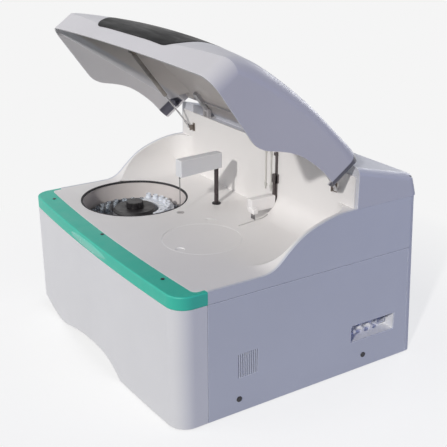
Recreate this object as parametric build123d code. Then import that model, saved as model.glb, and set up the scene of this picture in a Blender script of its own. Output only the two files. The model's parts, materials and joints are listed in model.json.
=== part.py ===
from build123d import *
import os
from functools import lru_cache
from math import atan2, cos, degrees, hypot, pi, radians, sin, sqrt

# Benchtop chemistry analyzer, in millimetres.
# X runs to the right as the operator sees it, Y to the rear and Z up.
# The origin is on the bench, under the middle of the enclosure.
# The lid stands open, as the operator leaves it to load the sample disc.

os.makedirs("parts", exist_ok=True)

# ---------------------------------------------------------------- driving sizes
# Enclosure
WIDTH = 820.0              # over the side panels
DEPTH = 730.0              # from the bulge of the front to the rear panel
FRONT_BOW = 15.0           # how far the front bulges ahead of its corners
FRONT_CORNER_R = 45.0
REAR_CORNER_R = 25.0
REAR_LEAN = 26.0           # the rear leans forward by this much up to the shoulder
SKIN = 4.0                 # wall of every moulded cover
BENCH_GAP = 3.0            # lower panels stop this far above the bench
SEAM_Z = 305.0             # top of the lower panels
PANEL_GAP = 1.2            # shadow gap between neighbouring panels
LAP = 10.0                 # the front panel reaches this far behind the side panels
FIT = 0.3                  # clearance where one moulding seats in another

# Work deck and its raised shoulders
DECK_Z = 336.0
SHOULDER_Z = 443.0
SHOULDER_RIM = 12.0        # width of the shoulder's top edge
SHOULDER_START_Y = -128.0  # where the shoulder begins to rise
WALL_Y = DEPTH / 2 - 222.0 # front of the rear housing
WALL_TOP_Z = 520.0
COVE_R = 60.0              # moulded cove between deck, shoulders and wall
PANEL_SPLIT_Y = -DEPTH / 2 + 93.0   # joint between the front panel and the side panels

# Rear housing
CREST_Z = 543.0            # its highest line, just behind the lid
HOUSING_BACK_Y = DEPTH / 2 - 43.0   # top edge at the rear
HOUSING_BACK_Z = 498.0
TROUGH_HALF = WIDTH / 2 - 65.0      # hinge trough across the top
TROUGH_DEPTH = 43.0        # measured back from the wall
TROUGH_FLOOR_Z = 508.0

# Lid, drawn closed and then swung open
LID_OPEN = 54.5            # degrees
LID_FRONT_Y = -DEPTH / 2 + 52.0
LID_REAR_Y = WALL_Y - 10.0
LID_GAP = 3.0              # rubber stops hold the rim this far off the body
LID_CORNER_R = 42.0
HINGE_Y = WALL_Y + 20.0
HINGE_Z = 532.0
HINGE_X = TROUGH_HALF - 48.0        # each hinge from the middle
HINGE_PIN_R = 3.0
HINGE_EYE_R = 6.4
LID_RETURN_X = WIDTH / 2 - 32.0     # the lid is open behind, between these returns
WINDOW_HALF = 186.0
WINDOW_CORNER_R = 22.0

# Sample disc in its well
WELL_X, WELL_Y = -218.0, -127.0
WELL_R = 150.0             # hole in the deck
WELL_DEPTH = 108.0
DISC_R = 138.0
CUP_RING_R = 122.0
CUP_COUNT = 30
CUP_R = 6.0
BOTTLE_COUNT = 8
BOTTLE_IN_R, BOTTLE_OUT_R = 68.0, 110.0

# Sampling probe
PROBE_X, PROBE_Y = -52.0, 41.0
PROBE_REACH = 120.0
PROBE_REST = 4.0           # degrees it is swung to the right, over the wash cup
PROBE_SHAFT_R = 6.0
ARM_Z0, ARM_Z1 = 438.0, 484.0
ARM_WIDTH = 27.0
PROBE_DOWN = 40.0

# Reaction disc under its round cover
REACT_X, REACT_Y = 143.5, -124.5
REACT_COVER_R = 100.0
REACT_DISC_R = 142.0
CUVETTE_RING_R = 136.0

# Wash station on the rear wall
WASH_X = 94.0
WASH_LIFT = 30.0

# Running gear
SHELF_Z = 200.0            # top of the steel shelf that carries the modules
SHELF_THICK = 4.0
TRAY_Z = 14.0              # underside of the base tray
TRAY_SHEET = 3.0
SHAFT_FIT = 0.05           # radial clearance of every running shaft


# ---------------------------------------------------------------- helpers
def at(x, y, z=0.0):
    return Location((x, y, z))


def disc(x, y, z0, z1, r):
    """Upright cylinder from z0 to z1."""
    return at(x, y, z0) * Cylinder(r, z1 - z0, align=(Align.CENTER, Align.CENTER, Align.MIN))


def tube(x, y, z0, z1, r_out, r_in):
    return disc(x, y, z0, z1, r_out) - disc(x, y, z0 - 1, z1 + 1, r_in)


def block(x0, x1, y0, y1, z0, z1):
    return at(x0, y0, z0) * Box(x1 - x0, y1 - y0, z1 - z0, align=(Align.MIN,) * 3)


def rod(start, end, r):
    """Round bar between two points."""
    a, b = Vector(*start), Vector(*end)
    plane = Plane(origin=a, z_dir=(b - a).normalized())
    return extrude(plane * Circle(r), (b - a).length)


def cross_pin(x0, x1, y, z, r):
    """Round bar along X."""
    return rod((x0, y, z), (x1, y, z), r)


def side_prism(edges, x0, x1):
    """Closed outline in the Y-Z plane, extruded from x0 to x1."""
    return at(x0, 0, 0) * extrude(make_face(edges), x1 - x0, dir=(1, 0, 0))


def yz(y, z):
    return (0.0, y, z)


def chain(points, closed=True):
    """Straight edges through points in the Y-Z plane."""
    pairs = list(zip(points, points[1:] + points[:1])) if closed else list(zip(points, points[1:]))
    return [Line(yz(*a), yz(*b)) for a, b in pairs]


def revolved(profile, x, y):
    """Solid of revolution about the upright axis at (x, y); profile is (radius, z)."""
    points = [(r, 0.0, z) for r, z in profile]
    edges = [Line(a, b) for a, b in zip(points, points[1:] + points[:1])]
    return at(x, y) * revolve(make_face(edges), Axis.Z)


def largest(shape):
    """The main solid where a cut leaves crumbs."""
    return max(shape.solids(), key=lambda s: s.volume)


NODES = {}


def keep(name, *solids):
    NODES[name] = solids[0] if len(solids) == 1 else Compound(children=list(solids))


# ---------------------------------------------------------------- plan of the enclosure
def plan_face(side, front, y_rear, r_front):
    """Plan outline with the bowed front and its round corners, ending square at y_rear."""
    x = WIDTH / 2 - side
    y_corner = -DEPTH / 2 + FRONT_BOW + front
    y_middle = -DEPTH / 2 + front
    face = Sketch() + make_face([
        ThreePointArc((-x, y_corner, 0), (0, y_middle, 0), (x, y_corner, 0)),
        Line((x, y_corner, 0), (x, y_rear, 0)),
        Line((x, y_rear, 0), (-x, y_rear, 0)),
        Line((-x, y_rear, 0), (-x, y_corner, 0)),
    ])
    return fillet(face.vertices().sort_by(Axis.Y)[:2], r_front)


def rear_y(z):
    """Where the leaning rear face stands at height z."""
    return DEPTH / 2 - REAR_LEAN * z / SHOULDER_Z


def rear_zone(depth):
    """Everything from this far ahead of the leaning rear face, backwards."""
    low, high = -20.0, 620.0
    outline = [(rear_y(low) - depth, low), (rear_y(high) - depth, high), (DEPTH, high), (DEPTH, low)]
    return side_prism(chain(outline), -WIDTH, WIDTH)


@lru_cache(maxsize=None)
def enclosure(inset):
    """The enclosure's outer form, drawn in by inset, from the bench upwards."""
    form = extrude(plan_face(inset, inset, DEPTH / 2 + 20, FRONT_CORNER_R - inset), 600)
    form -= rear_zone(inset)
    upright = [e for e in form.edges() if e.center().Y > DEPTH / 4 and abs(e.tangent_at(0.5).Z) > 0.9]
    return fillet(upright, REAR_CORNER_R - inset)


def plan_prism(inset, z0, z1):
    return enclosure(inset) & block(-WIDTH, WIDTH, -DEPTH, DEPTH, z0, z1)


def shoulder_edge(rise=0.0):
    """S-shaped top of the shoulder, from the deck up to the housing."""
    run, height = WALL_Y - SHOULDER_START_Y, SHOULDER_Z - DECK_Z
    shares = [(0.0, 0.0), (0.244, 0.32), (0.444, 0.70), (0.70, 0.925), (1.0, 1.0)]
    points = [yz(SHOULDER_START_Y + run * a, DECK_Z + rise + height * b) for a, b in shares]
    return Spline(*points, tangents=[(0, 1, 0), (0, 1, 0)])


def below_shoulders(rise, z_floor, y_back):
    """Everything under the deck line and the S-curve, as a prism over the full width."""
    y_front = -DEPTH / 2 - 5
    edges = [
        Line(yz(y_front, DECK_Z + rise), yz(SHOULDER_START_Y, DECK_Z + rise)),
        shoulder_edge(rise),
        Line(yz(WALL_Y, SHOULDER_Z + rise), yz(y_back, SHOULDER_Z + rise)),
        Line(yz(y_back, SHOULDER_Z + rise), yz(y_back, z_floor)),
        Line(yz(y_back, z_floor), yz(y_front, z_floor)),
        Line(yz(y_front, z_floor), yz(y_front, DECK_Z + rise)),
    ]
    return side_prism(edges, -WIDTH / 2 - 5, WIDTH / 2 + 5)


# ---------------------------------------------------------------- lower panels
VENT_Y0, VENT_Y1 = -193.0, -136.0
VENT_Z0, VENT_Z1 = 94.0, 157.0
VENT_SLOTS = 11
RECESS_Y0, RECESS_Y1 = 147.0, 290.0
RECESS_Z0, RECESS_Z1 = 84.0, 131.0
RECESS_DEPTH = 34.0
PLUG_R = 7.0
PLUG_Z = 38.5
PLUG_YS = (-188.5, 190.0)
REAR_WRAP = REAR_CORNER_R + 2.0   # how far the rear panel reaches round the sides


def lower_ring():
    top = SEAM_Z - PANEL_GAP
    return plan_prism(0, BENCH_GAP, top) - plan_prism(SKIN, BENCH_GAP - 1, top + 1)


def foot_arch():
    """Space under the front panel: a scooped left corner and the arch between the feet."""
    low = -5.0
    left, unit = -WIDTH / 2 - 2, WIDTH / 820
    heights = [(-320, 17), (-235, 6), (-135, 27), (-25, 43), (75, 36), (118, 16), (146, low)]
    wave = Spline((left, 0, 42), *[(x * unit, 0, z) for x, z in heights])
    edges = [wave, Line((146 * unit, 0, low), (left, 0, low)), Line((left, 0, low), (left, 0, 42))]
    y_back = PANEL_SPLIT_Y - 1
    return at(0, -DEPTH / 2 - 5) * extrude(make_face(edges), y_back + DEPTH / 2 + 5, dir=(0, 1, 0))


def front_panel():
    ring = lower_ring() & block(-WIDTH, WIDTH, -DEPTH, PANEL_SPLIT_Y - PANEL_GAP, 0, SEAM_Z)
    lap = plan_prism(SKIN, 60, SEAM_Z - 8) - plan_prism(SKIN + 2, 59, SEAM_Z)
    lap &= block(-WIDTH, WIDTH, PANEL_SPLIT_Y - 12, PANEL_SPLIT_Y + LAP, 0, SEAM_Z)
    return largest(ring + lap - foot_arch())


def side_plate(sign):
    """Side panel between the front panel and the rear panel, with its screw holes."""
    x0, x1 = sorted((sign * (WIDTH / 2 - SKIN), sign * WIDTH / 2))
    plate = block(x0, x1, PANEL_SPLIT_Y, DEPTH / 2, BENCH_GAP, SEAM_Z - PANEL_GAP) - rear_zone(REAR_WRAP)
    for y in PLUG_YS:
        plate -= cross_pin(x0 - 1, x1 + 1, y, PLUG_Z, PLUG_R - 1)
    return plate


def right_side_panel():
    plate = side_plate(1)
    x0, x1 = WIDTH / 2 - SKIN - 1, WIDTH / 2 + 1
    pitch = (VENT_Y1 - VENT_Y0) / VENT_SLOTS
    for i in range(VENT_SLOTS):
        y = VENT_Y0 + (i + 0.5) * pitch
        plate -= block(x0, x1, y - pitch / 4, y + pitch / 4, VENT_Z0, VENT_Z1)
    return plate - block(x0, x1, RECESS_Y0, RECESS_Y1, RECESS_Z0, RECESS_Z1)


def leaned(shape):
    """Tilt a fitting that was drawn on an upright rear wall onto the leaning one."""
    return shape.rotate(Axis((0, DEPTH / 2, 0), (1, 0, 0)), degrees(atan2(REAR_LEAN, SHOULDER_Z)))


def rear_panel():
    """Panel that wraps both rear corners, with the fan and inlet cut-outs."""
    panel = lower_ring() & rear_zone(REAR_WRAP - PANEL_GAP)
    y0, y1 = DEPTH / 2 - SKIN - 3, DEPTH / 2 + 3
    panel -= leaned(rod((FAN_X, y0, FAN_Z), (FAN_X, y1, FAN_Z), FAN_R))
    x0, x1 = INLET_X - INLET_W / 2, INLET_X + INLET_W / 2
    return panel - leaned(block(x0, x1, y0, y1, INLET_Z - INLET_H / 2, INLET_Z + INLET_H / 2))


FAN_X, FAN_Z, FAN_R = WIDTH / 2 - 195.0, 190.0, 56.0
INLET_X, INLET_Z = -WIDTH / 2 + 120.0, 90.0
INLET_W, INLET_H = 48.0, 28.0


def side_plugs():
    """Push-in blanking plugs over the panel screws."""
    solids = []
    for sign in (-1, 1):
        face = sign * WIDTH / 2
        for y in PLUG_YS:
            head = cross_pin(face, face + sign * 1.6, y, PLUG_Z, PLUG_R)
            stem = cross_pin(face - sign * SKIN, face + sign * 0.5, y, PLUG_Z, PLUG_R - 1)
            solids.append(head + stem)
    return solids


def service_recess():
    """Five-sided pocket for the fluid connections."""
    x1 = WIDTH / 2 - SKIN
    pocket = block(x1 - RECESS_DEPTH, x1, RECESS_Y0 - 3, RECESS_Y1 + 3, RECESS_Z0 - 3, RECESS_Z1 + 3)
    return pocket - block(x1 - RECESS_DEPTH + 3, x1 + 1, RECESS_Y0, RECESS_Y1, RECESS_Z0, RECESS_Z1)


PORT_YS = (168.0, 196.0, 224.0)
PORT_FLOOR_X = WIDTH / 2 - SKIN - RECESS_DEPTH + 3


def fluid_ports():
    """Barbed tube connectors on the recess's back wall."""
    profile = [(0, 0), (10, 0), (10, 5), (5, 5), (5, 12), (6.4, 12), (4.8, 18), (4.8, 24), (0, 24)]
    z = (RECESS_Z0 + RECESS_Z1) / 2 - 3
    return [Location((PORT_FLOOR_X, y, z), (0, 90, 0)) * revolved(profile, 0, 0) for y in PORT_YS]


def level_connector():
    """Multi-pin socket for the bottle level sensors."""
    y0, z0 = 252.0, 98.0
    body = block(PORT_FLOOR_X, PORT_FLOOR_X + 12, y0, y0 + 28, z0, z0 + 24)
    body -= block(PORT_FLOOR_X + 4, PORT_FLOOR_X + 13, y0 + 3, y0 + 25, z0 + 3, z0 + 21)
    for row in range(2):
        for col in range(4):
            y, z = y0 + 6.5 + 5 * col, z0 + 8 + 8 * row
            body += block(PORT_FLOOR_X + 3, PORT_FLOOR_X + 9, y - 0.8, y + 0.8, z - 0.8, z + 0.8)
    return body


# ---------------------------------------------------------------- trim strip
STRIP_INSET = 50.0         # from the front to the strip's inner edge
STRIP_SIDE = 13.0          # its width along the sides
SCREW_XS = (-WIDTH / 2 + 81.0, -15.0, WIDTH / 2 - 111.0)
SCREW_Y = -DEPTH / 2 + STRIP_INSET - 7.0
SCREW_R = 1.9


def strip_inner(grow, z0, z1):
    """Plan of the deck inside the strip, larger by grow."""
    face = plan_face(STRIP_SIDE - grow, STRIP_INSET - grow, DEPTH / 2, 15 + grow)
    return extrude(at(0, 0, z0) * face, z1 - z0)


def trim_strip():
    outer = plan_prism(0, SEAM_Z, DECK_Z)
    outer &= block(-WIDTH, WIDTH, -DEPTH, PANEL_SPLIT_Y, SEAM_Z, DECK_Z)
    rim = outer.faces().filter_by(Axis.Z).sort_by(Axis.Z)[-1].outer_wire().edges()
    rim = [e for e in rim if abs(e.center().Y - PANEL_SPLIT_Y) > 0.5]
    outer = fillet(rim, 3.5)
    strip = outer - strip_inner(0, SEAM_Z - 1, DECK_Z + 1)
    strip -= plan_prism(SKIN, SEAM_Z - 1, DECK_Z - SKIN)
    for x in SCREW_XS:
        strip -= disc(x, SCREW_Y, SEAM_Z, DECK_Z + 1, SCREW_R)
    return largest(strip)


def strip_grip():
    """Lens-shaped light-green finger grip on the middle of the strip."""
    half, height = 100.0, 13.0
    z = DECK_Z - 11.0
    edges = [ThreePointArc((-half, 0, z), (0, 0, z + height / 2), (half, 0, z)),
             ThreePointArc((half, 0, z), (0, 0, z - height / 2), (-half, 0, z))]
    lens = at(-20, -DEPTH / 2 - 20) * extrude(make_face(edges), 40, dir=(0, 1, 0))
    glue = 0.1
    proud = plan_prism(-2.0, SEAM_Z, DECK_Z) - plan_prism(-glue, SEAM_Z - 1, DECK_Z + 1)
    return largest(lens & proud)


def trim_screws():
    solids = []
    for x in SCREW_XS:
        head = disc(x, SCREW_Y, DECK_Z, DECK_Z + 1.4, 4.5)
        head -= block(x - 3.2, x + 3.2, SCREW_Y - 0.5, SCREW_Y + 0.5, DECK_Z + 0.7, DECK_Z + 2)
        solids.append(head + disc(x, SCREW_Y, DECK_Z - 12, DECK_Z + 0.5, SCREW_R))
    return solids


# ---------------------------------------------------------------- deck cover
SEAM_SLOT = 5.0
SLOT_FRONT = (121.0, -1.0)
SLOT_REAR = (100.0, 128.0)
DISPENSE_TURN = 50.3       # swing of the probe, from straight ahead, to the dispensing slot
DISPENSE_SLOT = (26.0, 9.0)
WASH_CUP_R = 8.0


def bowl(x0, x1, grow, coves):
    """Work space over the deck as a cutter; coves name the edges that are rounded out."""
    left, right, rear = ("left" in coves, "right" in coves, "rear" in coves)
    x0, x1, y1, z0 = x0 - grow, x1 + grow, WALL_Y - SKIN + grow, DECK_Z - grow
    tool = block(x0, x1, -DEPTH, y1, z0, DECK_Z + 300)
    picks = []
    for edge in tool.edges():
        c = edge.center()
        on_left, on_right = left and abs(c.X - x0) < 0.1, right and abs(c.X - x1) < 0.1
        on_rear, low, upright = abs(c.Y - y1) < 0.1, abs(c.Z - z0) < 0.1, abs(edge.tangent_at(0.5).Z) > 0.9
        if (low and (on_left or on_right or (rear and on_rear))) or (upright and on_rear and (on_left or on_right)):
            picks.append(edge)
    return fillet(picks, COVE_R + grow)


def work_space(grow):
    rim = WIDTH / 2 - SHOULDER_RIM
    return bowl(-rim, WASH_X + 5, grow, ("left",)) + bowl(WASH_X + 5, rim, grow, ("right", "rear"))


def needle_place(swing, reach=PROBE_REACH):
    """Where the needle stands at a swing from straight ahead."""
    turn = radians(swing)
    return PROBE_X + reach * sin(turn), PROBE_Y - reach * cos(turn)


def dispense_place():
    """Middle of the dispensing slot, a little beyond the needle."""
    return needle_place(DISPENSE_TURN, PROBE_REACH + 2.5)


def slot_cut(z0, z1, width):
    """Upright cut along the line of the wash-station slot."""
    (xa, ya), (xb, yb) = SLOT_FRONT, SLOT_REAR
    length = hypot(xb - xa, yb - ya)
    turn = degrees(atan2(yb - ya, xb - xa))
    centre = Location(((xa + xb) / 2, (ya + yb) / 2, z0), (0, 0, turn))
    return centre * extrude(SlotOverall(length, width), z1 - z0)


def deck_cover():
    """One moulding: front ledge, flat deck, S-shaped shoulders and rear wall."""
    rim = WIDTH / 2 - SHOULDER_RIM
    shell = plan_prism(0, SEAM_Z, SHOULDER_Z) & below_shoulders(0, SEAM_Z - 5, DEPTH)
    shell += block(-rim - 2, rim + 2, WALL_Y - SKIN, WALL_Y, SHOULDER_Z - 5, WALL_TOP_Z)
    shell -= work_space(0)
    # even wall on the underside
    hollow = plan_prism(SKIN, SEAM_Z - 1, SHOULDER_Z) & below_shoulders(-SKIN, SEAM_Z - 5, DEPTH)
    shell -= hollow - work_space(SKIN)
    # under the trim strip the moulding steps down and back to carry it
    front = block(-WIDTH, WIDTH, -DEPTH, PANEL_SPLIT_Y + FIT, SEAM_Z - 5, DECK_Z + 5)
    shell -= front - strip_inner(-FIT, SEAM_Z - 6, DECK_Z + 6)
    ledge = plan_prism(SKIN + FIT, SEAM_Z, DECK_Z - SKIN - FIT) - strip_inner(-2 * SKIN, SEAM_Z - 1, DECK_Z)
    ledge -= plan_prism(2 * SKIN + FIT, SEAM_Z - 1, DECK_Z - 2 * SKIN - FIT)
    shell += ledge & block(-WIDTH, WIDTH, -DEPTH, PANEL_SPLIT_Y + 8, 0, 600)
    rib = strip_inner(-FIT, DECK_Z - 2 * SKIN, DECK_Z - 1) - strip_inner(-2 * SKIN, DECK_Z - 20, DECK_Z)
    shell += rib & block(-WIDTH, WIDTH, -DEPTH, PANEL_SPLIT_Y + 8, 0, 600)
    for x in SCREW_XS:
        shell -= disc(x, SCREW_Y, SEAM_Z, DECK_Z, SCREW_R)
    # openings in the deck
    shell -= disc(WELL_X, WELL_Y, DECK_Z - 10, DECK_Z + 14, WELL_R)
    shell -= disc(REACT_X, REACT_Y, DECK_Z - COVER_THICK, DECK_Z + 5, REACT_COVER_R + FIT)
    shell -= disc(REACT_X, REACT_Y, DECK_Z - 10, DECK_Z + 5, REACT_COVER_R - 8)
    shell -= disc(PROBE_X, PROBE_Y, DECK_Z - 10, DECK_Z + 5, 9.0)
    shell -= disc(*needle_place(PROBE_REST), DECK_Z - 10, DECK_Z + 5, WASH_CUP_R + FIT)
    shell -= slot_cut(DECK_Z - 10, DECK_Z + 5, SEAM_SLOT)
    slot = Location((*dispense_place(), DECK_Z - 10), (0, 0, DISPENSE_TURN))
    return largest(shell - slot * extrude(SlotOverall(*DISPENSE_SLOT), 20))


# ---------------------------------------------------------------- rear housing
def housing_outline(shrink):
    """Side view of the housing, drawn in by shrink."""
    y0 = WALL_Y + FIT + shrink
    slope = atan2(CREST_Z - HOUSING_BACK_Z, HOUSING_BACK_Y - WALL_Y)
    drop = shrink / cos(slope)
    z0 = SHOULDER_Z + FIT - (1 if shrink else 0)
    return [(y0, z0), (y0, CREST_Z - drop - shrink * sin(slope)), (HOUSING_BACK_Y - shrink, HOUSING_BACK_Z - drop),
            (rear_y(SHOULDER_Z) - shrink, z0)]


def rear_cover():
    x = WIDTH / 2
    outer = side_prism(chain(housing_outline(0)), -x, x)
    rear_top = [e for e in outer.edges().filter_by(Axis.X) if e.center().Z > HOUSING_BACK_Z - 20
                and e.center().Y > HOUSING_BACK_Y - 5]
    outer = fillet(rear_top, 24.0)
    sides = [e for e in outer.edges() if abs(abs(e.center().X) - x) < 0.1 and e.center().Z > SHOULDER_Z + 5
             and e.center().Y > WALL_Y + 5]
    outer = fillet(sides, 18.0)
    inner = side_prism(chain(housing_outline(SKIN)), -x + SKIN, x - SKIN)
    trough_y = WALL_Y + TROUGH_DEPTH
    wall = SKIN
    trough_block = block(-TROUGH_HALF - wall, TROUGH_HALF + wall, WALL_Y - 1, trough_y + wall,
                         TROUGH_FLOOR_Z - wall, CREST_Z + 5)
    trough = block(-TROUGH_HALF, TROUGH_HALF, WALL_Y - 1, trough_y, TROUGH_FLOOR_Z, CREST_Z + 5)
    front_opening = block(-x + 30, x - 30, WALL_Y - 1, WALL_Y + SKIN + 1, SHOULDER_Z - 5, TROUGH_FLOOR_Z - wall - 12)
    return largest(outer - (inner - trough_block) - trough - front_opening)


# ---------------------------------------------------------------- lid
# Cross-sections of the closed lid: place between its front and rear edge, height of its middle,
# fall of the crown towards the sides, radius of the upper edge
LID_SECTIONS = [(0.0, 376.0, 8.0, 26.0), (0.025, 412.0, 16.0, 38.0), (0.141, 468.0, 28.0, 44.0),
                (0.276, 498.0, 33.0, 40.0), (0.5, 528.0, 32.0, 32.0), (0.702, 541.0, 25.0, 26.0),
                (0.859, 545.0, 13.0, 30.0), (1.0, 543.0, 4.0, 38.0)]
CROWN_END_X = WIDTH / 2 - 70.0      # inside, the crown ends here and the haunches run down to the flanks
CREASE_Z, CREASE_RISE = 342.0, 0.383


def lid_y(share):
    return LID_FRONT_Y + (LID_REAR_Y - LID_FRONT_Y) * share


def outer_section(y, top, crown, r):
    """Arch across the lid: upright flanks, rounded edges and a shallow crown."""
    x, z0 = WIDTH / 2, DECK_Z - 8
    big = (x * x + crown * crown) / (2 * crown)
    centre = top - big
    z = centre + sqrt((big - r) ** 2 - (x - r) ** 2)
    lean = atan2(z - centre, x - r)
    xt, zt = big * cos(lean), centre + big * sin(lean)
    xm, zm = x - r + r * cos(lean / 2), z + r * sin(lean / 2)
    return make_face([
        Line((-x, y, z0), (x, y, z0)),
        Line((x, y, z0), (x, y, z)),
        ThreePointArc((x, y, z), (xm, y, zm), (xt, y, zt)),
        ThreePointArc((xt, y, zt), (0, y, top), (-xt, y, zt)),
        ThreePointArc((-xt, y, zt), (-xm, y, zm), (-x, y, z)),
        Line((-x, y, z), (-x, y, z0)),
    ])


def inner_section(y, top, crown):
    """Hollow of the lid: flank, sloping haunch above the crease, and the crown one skin below the outer one."""
    x, xk, z0 = WIDTH / 2 - SKIN, CROWN_END_X, DECK_Z - 8
    crease = max(CREASE_Z + CREASE_RISE * (y - LID_FRONT_Y - 26), z0 + 3)
    zk = top - SKIN - crown * (xk / (WIDTH / 2)) ** 2
    return make_face([
        Line((-x, y, z0), (x, y, z0)),
        Line((x, y, z0), (x, y, crease)),
        Line((x, y, crease), (xk, y, zk)),
        ThreePointArc((xk, y, zk), (0, y, top - SKIN), (-xk, y, zk)),
        Line((-xk, y, zk), (-x, y, crease)),
        Line((-x, y, crease), (-x, y, z0)),
    ])


def lid_plan(inset):
    """Plan of the lid with its bowed front and rounded corners, as a tall prism."""
    x, bow = WIDTH / 2 - inset, FRONT_BOW * 0.8
    front, rear = LID_FRONT_Y + inset, LID_REAR_Y - inset
    plan = Sketch() + make_face([
        ThreePointArc((-x, front + bow, 0), (0, front, 0), (x, front + bow, 0)),
        Line((x, front + bow, 0), (x, rear, 0)),
        Line((x, rear, 0), (-x, rear, 0)),
        Line((-x, rear, 0), (-x, front + bow, 0)),
    ])
    plan = fillet(plan.vertices().sort_by(Axis.Y)[:2], LID_CORNER_R - inset)
    plan = fillet(plan.vertices().sort_by(Axis.Y)[-2:], 24.0 - inset)
    return extrude(at(0, 0, DECK_Z - 20) * plan, 400)


def lid_solid():
    """Outside of the closed lid."""
    return loft([outer_section(lid_y(a), top, crown, r) for a, top, crown, r in LID_SECTIONS]) & lid_plan(0)


def lid_cavity():
    """Hollow of the closed lid; its sections stand a little further back, so the steep nose keeps its skin."""
    hollow = loft([inner_section(lid_y(a) + 3, top, crown) for a, top, crown, r in LID_SECTIONS])
    return hollow & lid_plan(SKIN)


def window_prism(grow, low, high):
    """Cutter for the window, square to the slope of the lid's front."""
    a, b = (LID_FRONT_Y + 7, 383.0), (LID_FRONT_Y + 253, 533.0)
    slope = atan2(b[1] - a[1], b[0] - a[0])
    mid = ((a[0] + b[0]) / 2, (a[1] + b[1]) / 2)
    length = hypot(b[0] - a[0], b[1] - a[1])
    plane = Plane(origin=(0, *mid), x_dir=(1, 0, 0), z_dir=(0, -sin(slope), cos(slope)))
    outline = RectangleRounded(2 * (WINDOW_HALF + grow), length + 2 * grow, WINDOW_CORNER_R + grow)
    return extrude(plane.offset(low) * outline, high - low)


def opened(shape):
    """Swing a piece of the closed lid up to where it stands open."""
    return shape.rotate(Axis((0, HINGE_Y, HINGE_Z), (1, 0, 0)), -LID_OPEN)


def rim_floor():
    return below_shoulders(LID_GAP, SEAM_Z - 50, DEPTH / 2)


def lid_shell(outer, inner):
    """Hollow moulding, open below and behind, with its rim following the shoulders."""
    top = LID_SECTIONS[-1][1]
    shell = outer - inner - rim_floor()
    shell -= window_prism(0, -80, 80)
    shell -= block(-LID_RETURN_X, LID_RETURN_X, LID_REAR_Y - 30, LID_REAR_Y + 1, DECK_Z, top - SKIN - 6)
    tongue_x = TROUGH_HALF - 3
    tongue = block(-tongue_x, tongue_x, LID_REAR_Y - SKIN, WALL_Y + TROUGH_DEPTH - 7, top - SKIN, top)
    for side in (-1, 1):
        x = side * HINGE_X
        shell -= block(x - 6, x + 6, LID_REAR_Y - SKIN - 1, LID_REAR_Y + 1, DECK_Z, top - SKIN)
    return shell + tongue


def lid_window(outer, inner):
    """Smoked pane, flush with the lid's skin, with a lip behind the opening."""
    pane = (outer - inner) & window_prism(-0.4, -80, 80)
    return largest(pane)


def hinge_arm(x, inner):
    """Steel arm from the lid's inside to the hinge pin, drawn closed."""
    z1, y1 = LID_SECTIONS[-1][1] - SKIN - 3, LID_REAR_Y - SKIN
    eye = cross_pin(x - 5, x + 5, HINGE_Y, HINGE_Z, HINGE_EYE_R)
    leaf = block(x - 5, x + 5, y1 - 30, HINGE_Y, z1 - 8, z1)
    pad = block(x - 11, x + 11, y1 - 34, y1 - 6, z1 - 9, z1 + 3)
    inside = (leaf + pad) & (inner - rim_floor())
    outside = leaf & block(x - 5, x + 5, y1 - 0.5, HINGE_Y, 0, 600)
    return largest(inside + outside + eye) - cross_pin(x - 9, x + 9, HINGE_Y, HINGE_Z, HINGE_PIN_R + SHAFT_FIT)


def hinge_bracket(x):
    """Fork on the trough floor, with the pin riveted through it on both sides of the arm."""
    fork = block(x - 16, x + 16, WALL_Y + 5, WALL_Y + TROUGH_DEPTH - 2, TROUGH_FLOOR_Z, TROUGH_FLOOR_Z + 4)
    for side in (-1, 1):
        cheek = cross_pin(x + side * 10 - 3, x + side * 10 + 3, HINGE_Y, HINGE_Z, HINGE_EYE_R)
        cheek += block(x + side * 10 - 3, x + side * 10 + 3, HINGE_Y - HINGE_EYE_R, HINGE_Y + HINGE_EYE_R,
                       TROUGH_FLOOR_Z, HINGE_Z)
        fork += cheek
    return fork + cross_pin(x - 14, x + 14, HINGE_Y, HINGE_Z, HINGE_PIN_R)


# Gas struts: lower ball on the wall, upper ball under the lid
STRUT_X = WIDTH / 2 - 65.0
STRUT_FOOT = (WALL_Y - 13.5, WALL_TOP_Z - 43.0)
STRUT_HEAD = (HINGE_Y - 220.0, HINGE_Z + 190.0)      # with the lid open
STRUT_BODY_R, STRUT_ROD_R = 6.0, 2.5
STRUT_BODY_LENGTH = 176.0


def strut_line(distance):
    """Point on the strut's axis, measured down from its head."""
    dy, dz = STRUT_FOOT[0] - STRUT_HEAD[0], STRUT_FOOT[1] - STRUT_HEAD[1]
    length = hypot(dy, dz)
    return STRUT_HEAD[0] + dy * distance / length, STRUT_HEAD[1] + dz * distance / length


def strut_length():
    return hypot(STRUT_FOOT[0] - STRUT_HEAD[0], STRUT_FOOT[1] - STRUT_HEAD[1])


def strut_cylinder(x):
    top, end = strut_line(12), strut_line(STRUT_BODY_LENGTH)
    body = rod((x, *top), (x, *end), STRUT_BODY_R)
    eye = cross_pin(x - 4, x + 4, *STRUT_HEAD, 7.0) + rod((x, *strut_line(2)), (x, *strut_line(16)), 3.6)
    bore = rod((x, *strut_line(20)), (x, *strut_line(STRUT_BODY_LENGTH + 1)), STRUT_ROD_R + SHAFT_FIT)
    return body + eye - bore - cross_pin(x - 10, x + 10, *STRUT_HEAD, STRUT_STUD_R + SHAFT_FIT)


STRUT_EYE_R = 5.0
STRUT_STUD_R = 3.0
STRUT_PLATE = 12.0         # bracket plates stand this far inboard of the strut


def strut_rod(x):
    """Chromed rod with its end socket, which stands beside the stud's end."""
    start = strut_line(STRUT_BODY_LENGTH - 70)
    end = strut_line(strut_length() - 3)
    socket = cross_pin(x - 4, x + 4, *STRUT_FOOT, STRUT_EYE_R)
    socket += rod((x, *strut_line(strut_length() - 24)), (x, *strut_line(strut_length() - 2)), 3.8)
    return rod((x, *start), (x, *end), STRUT_ROD_R) + socket


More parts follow.
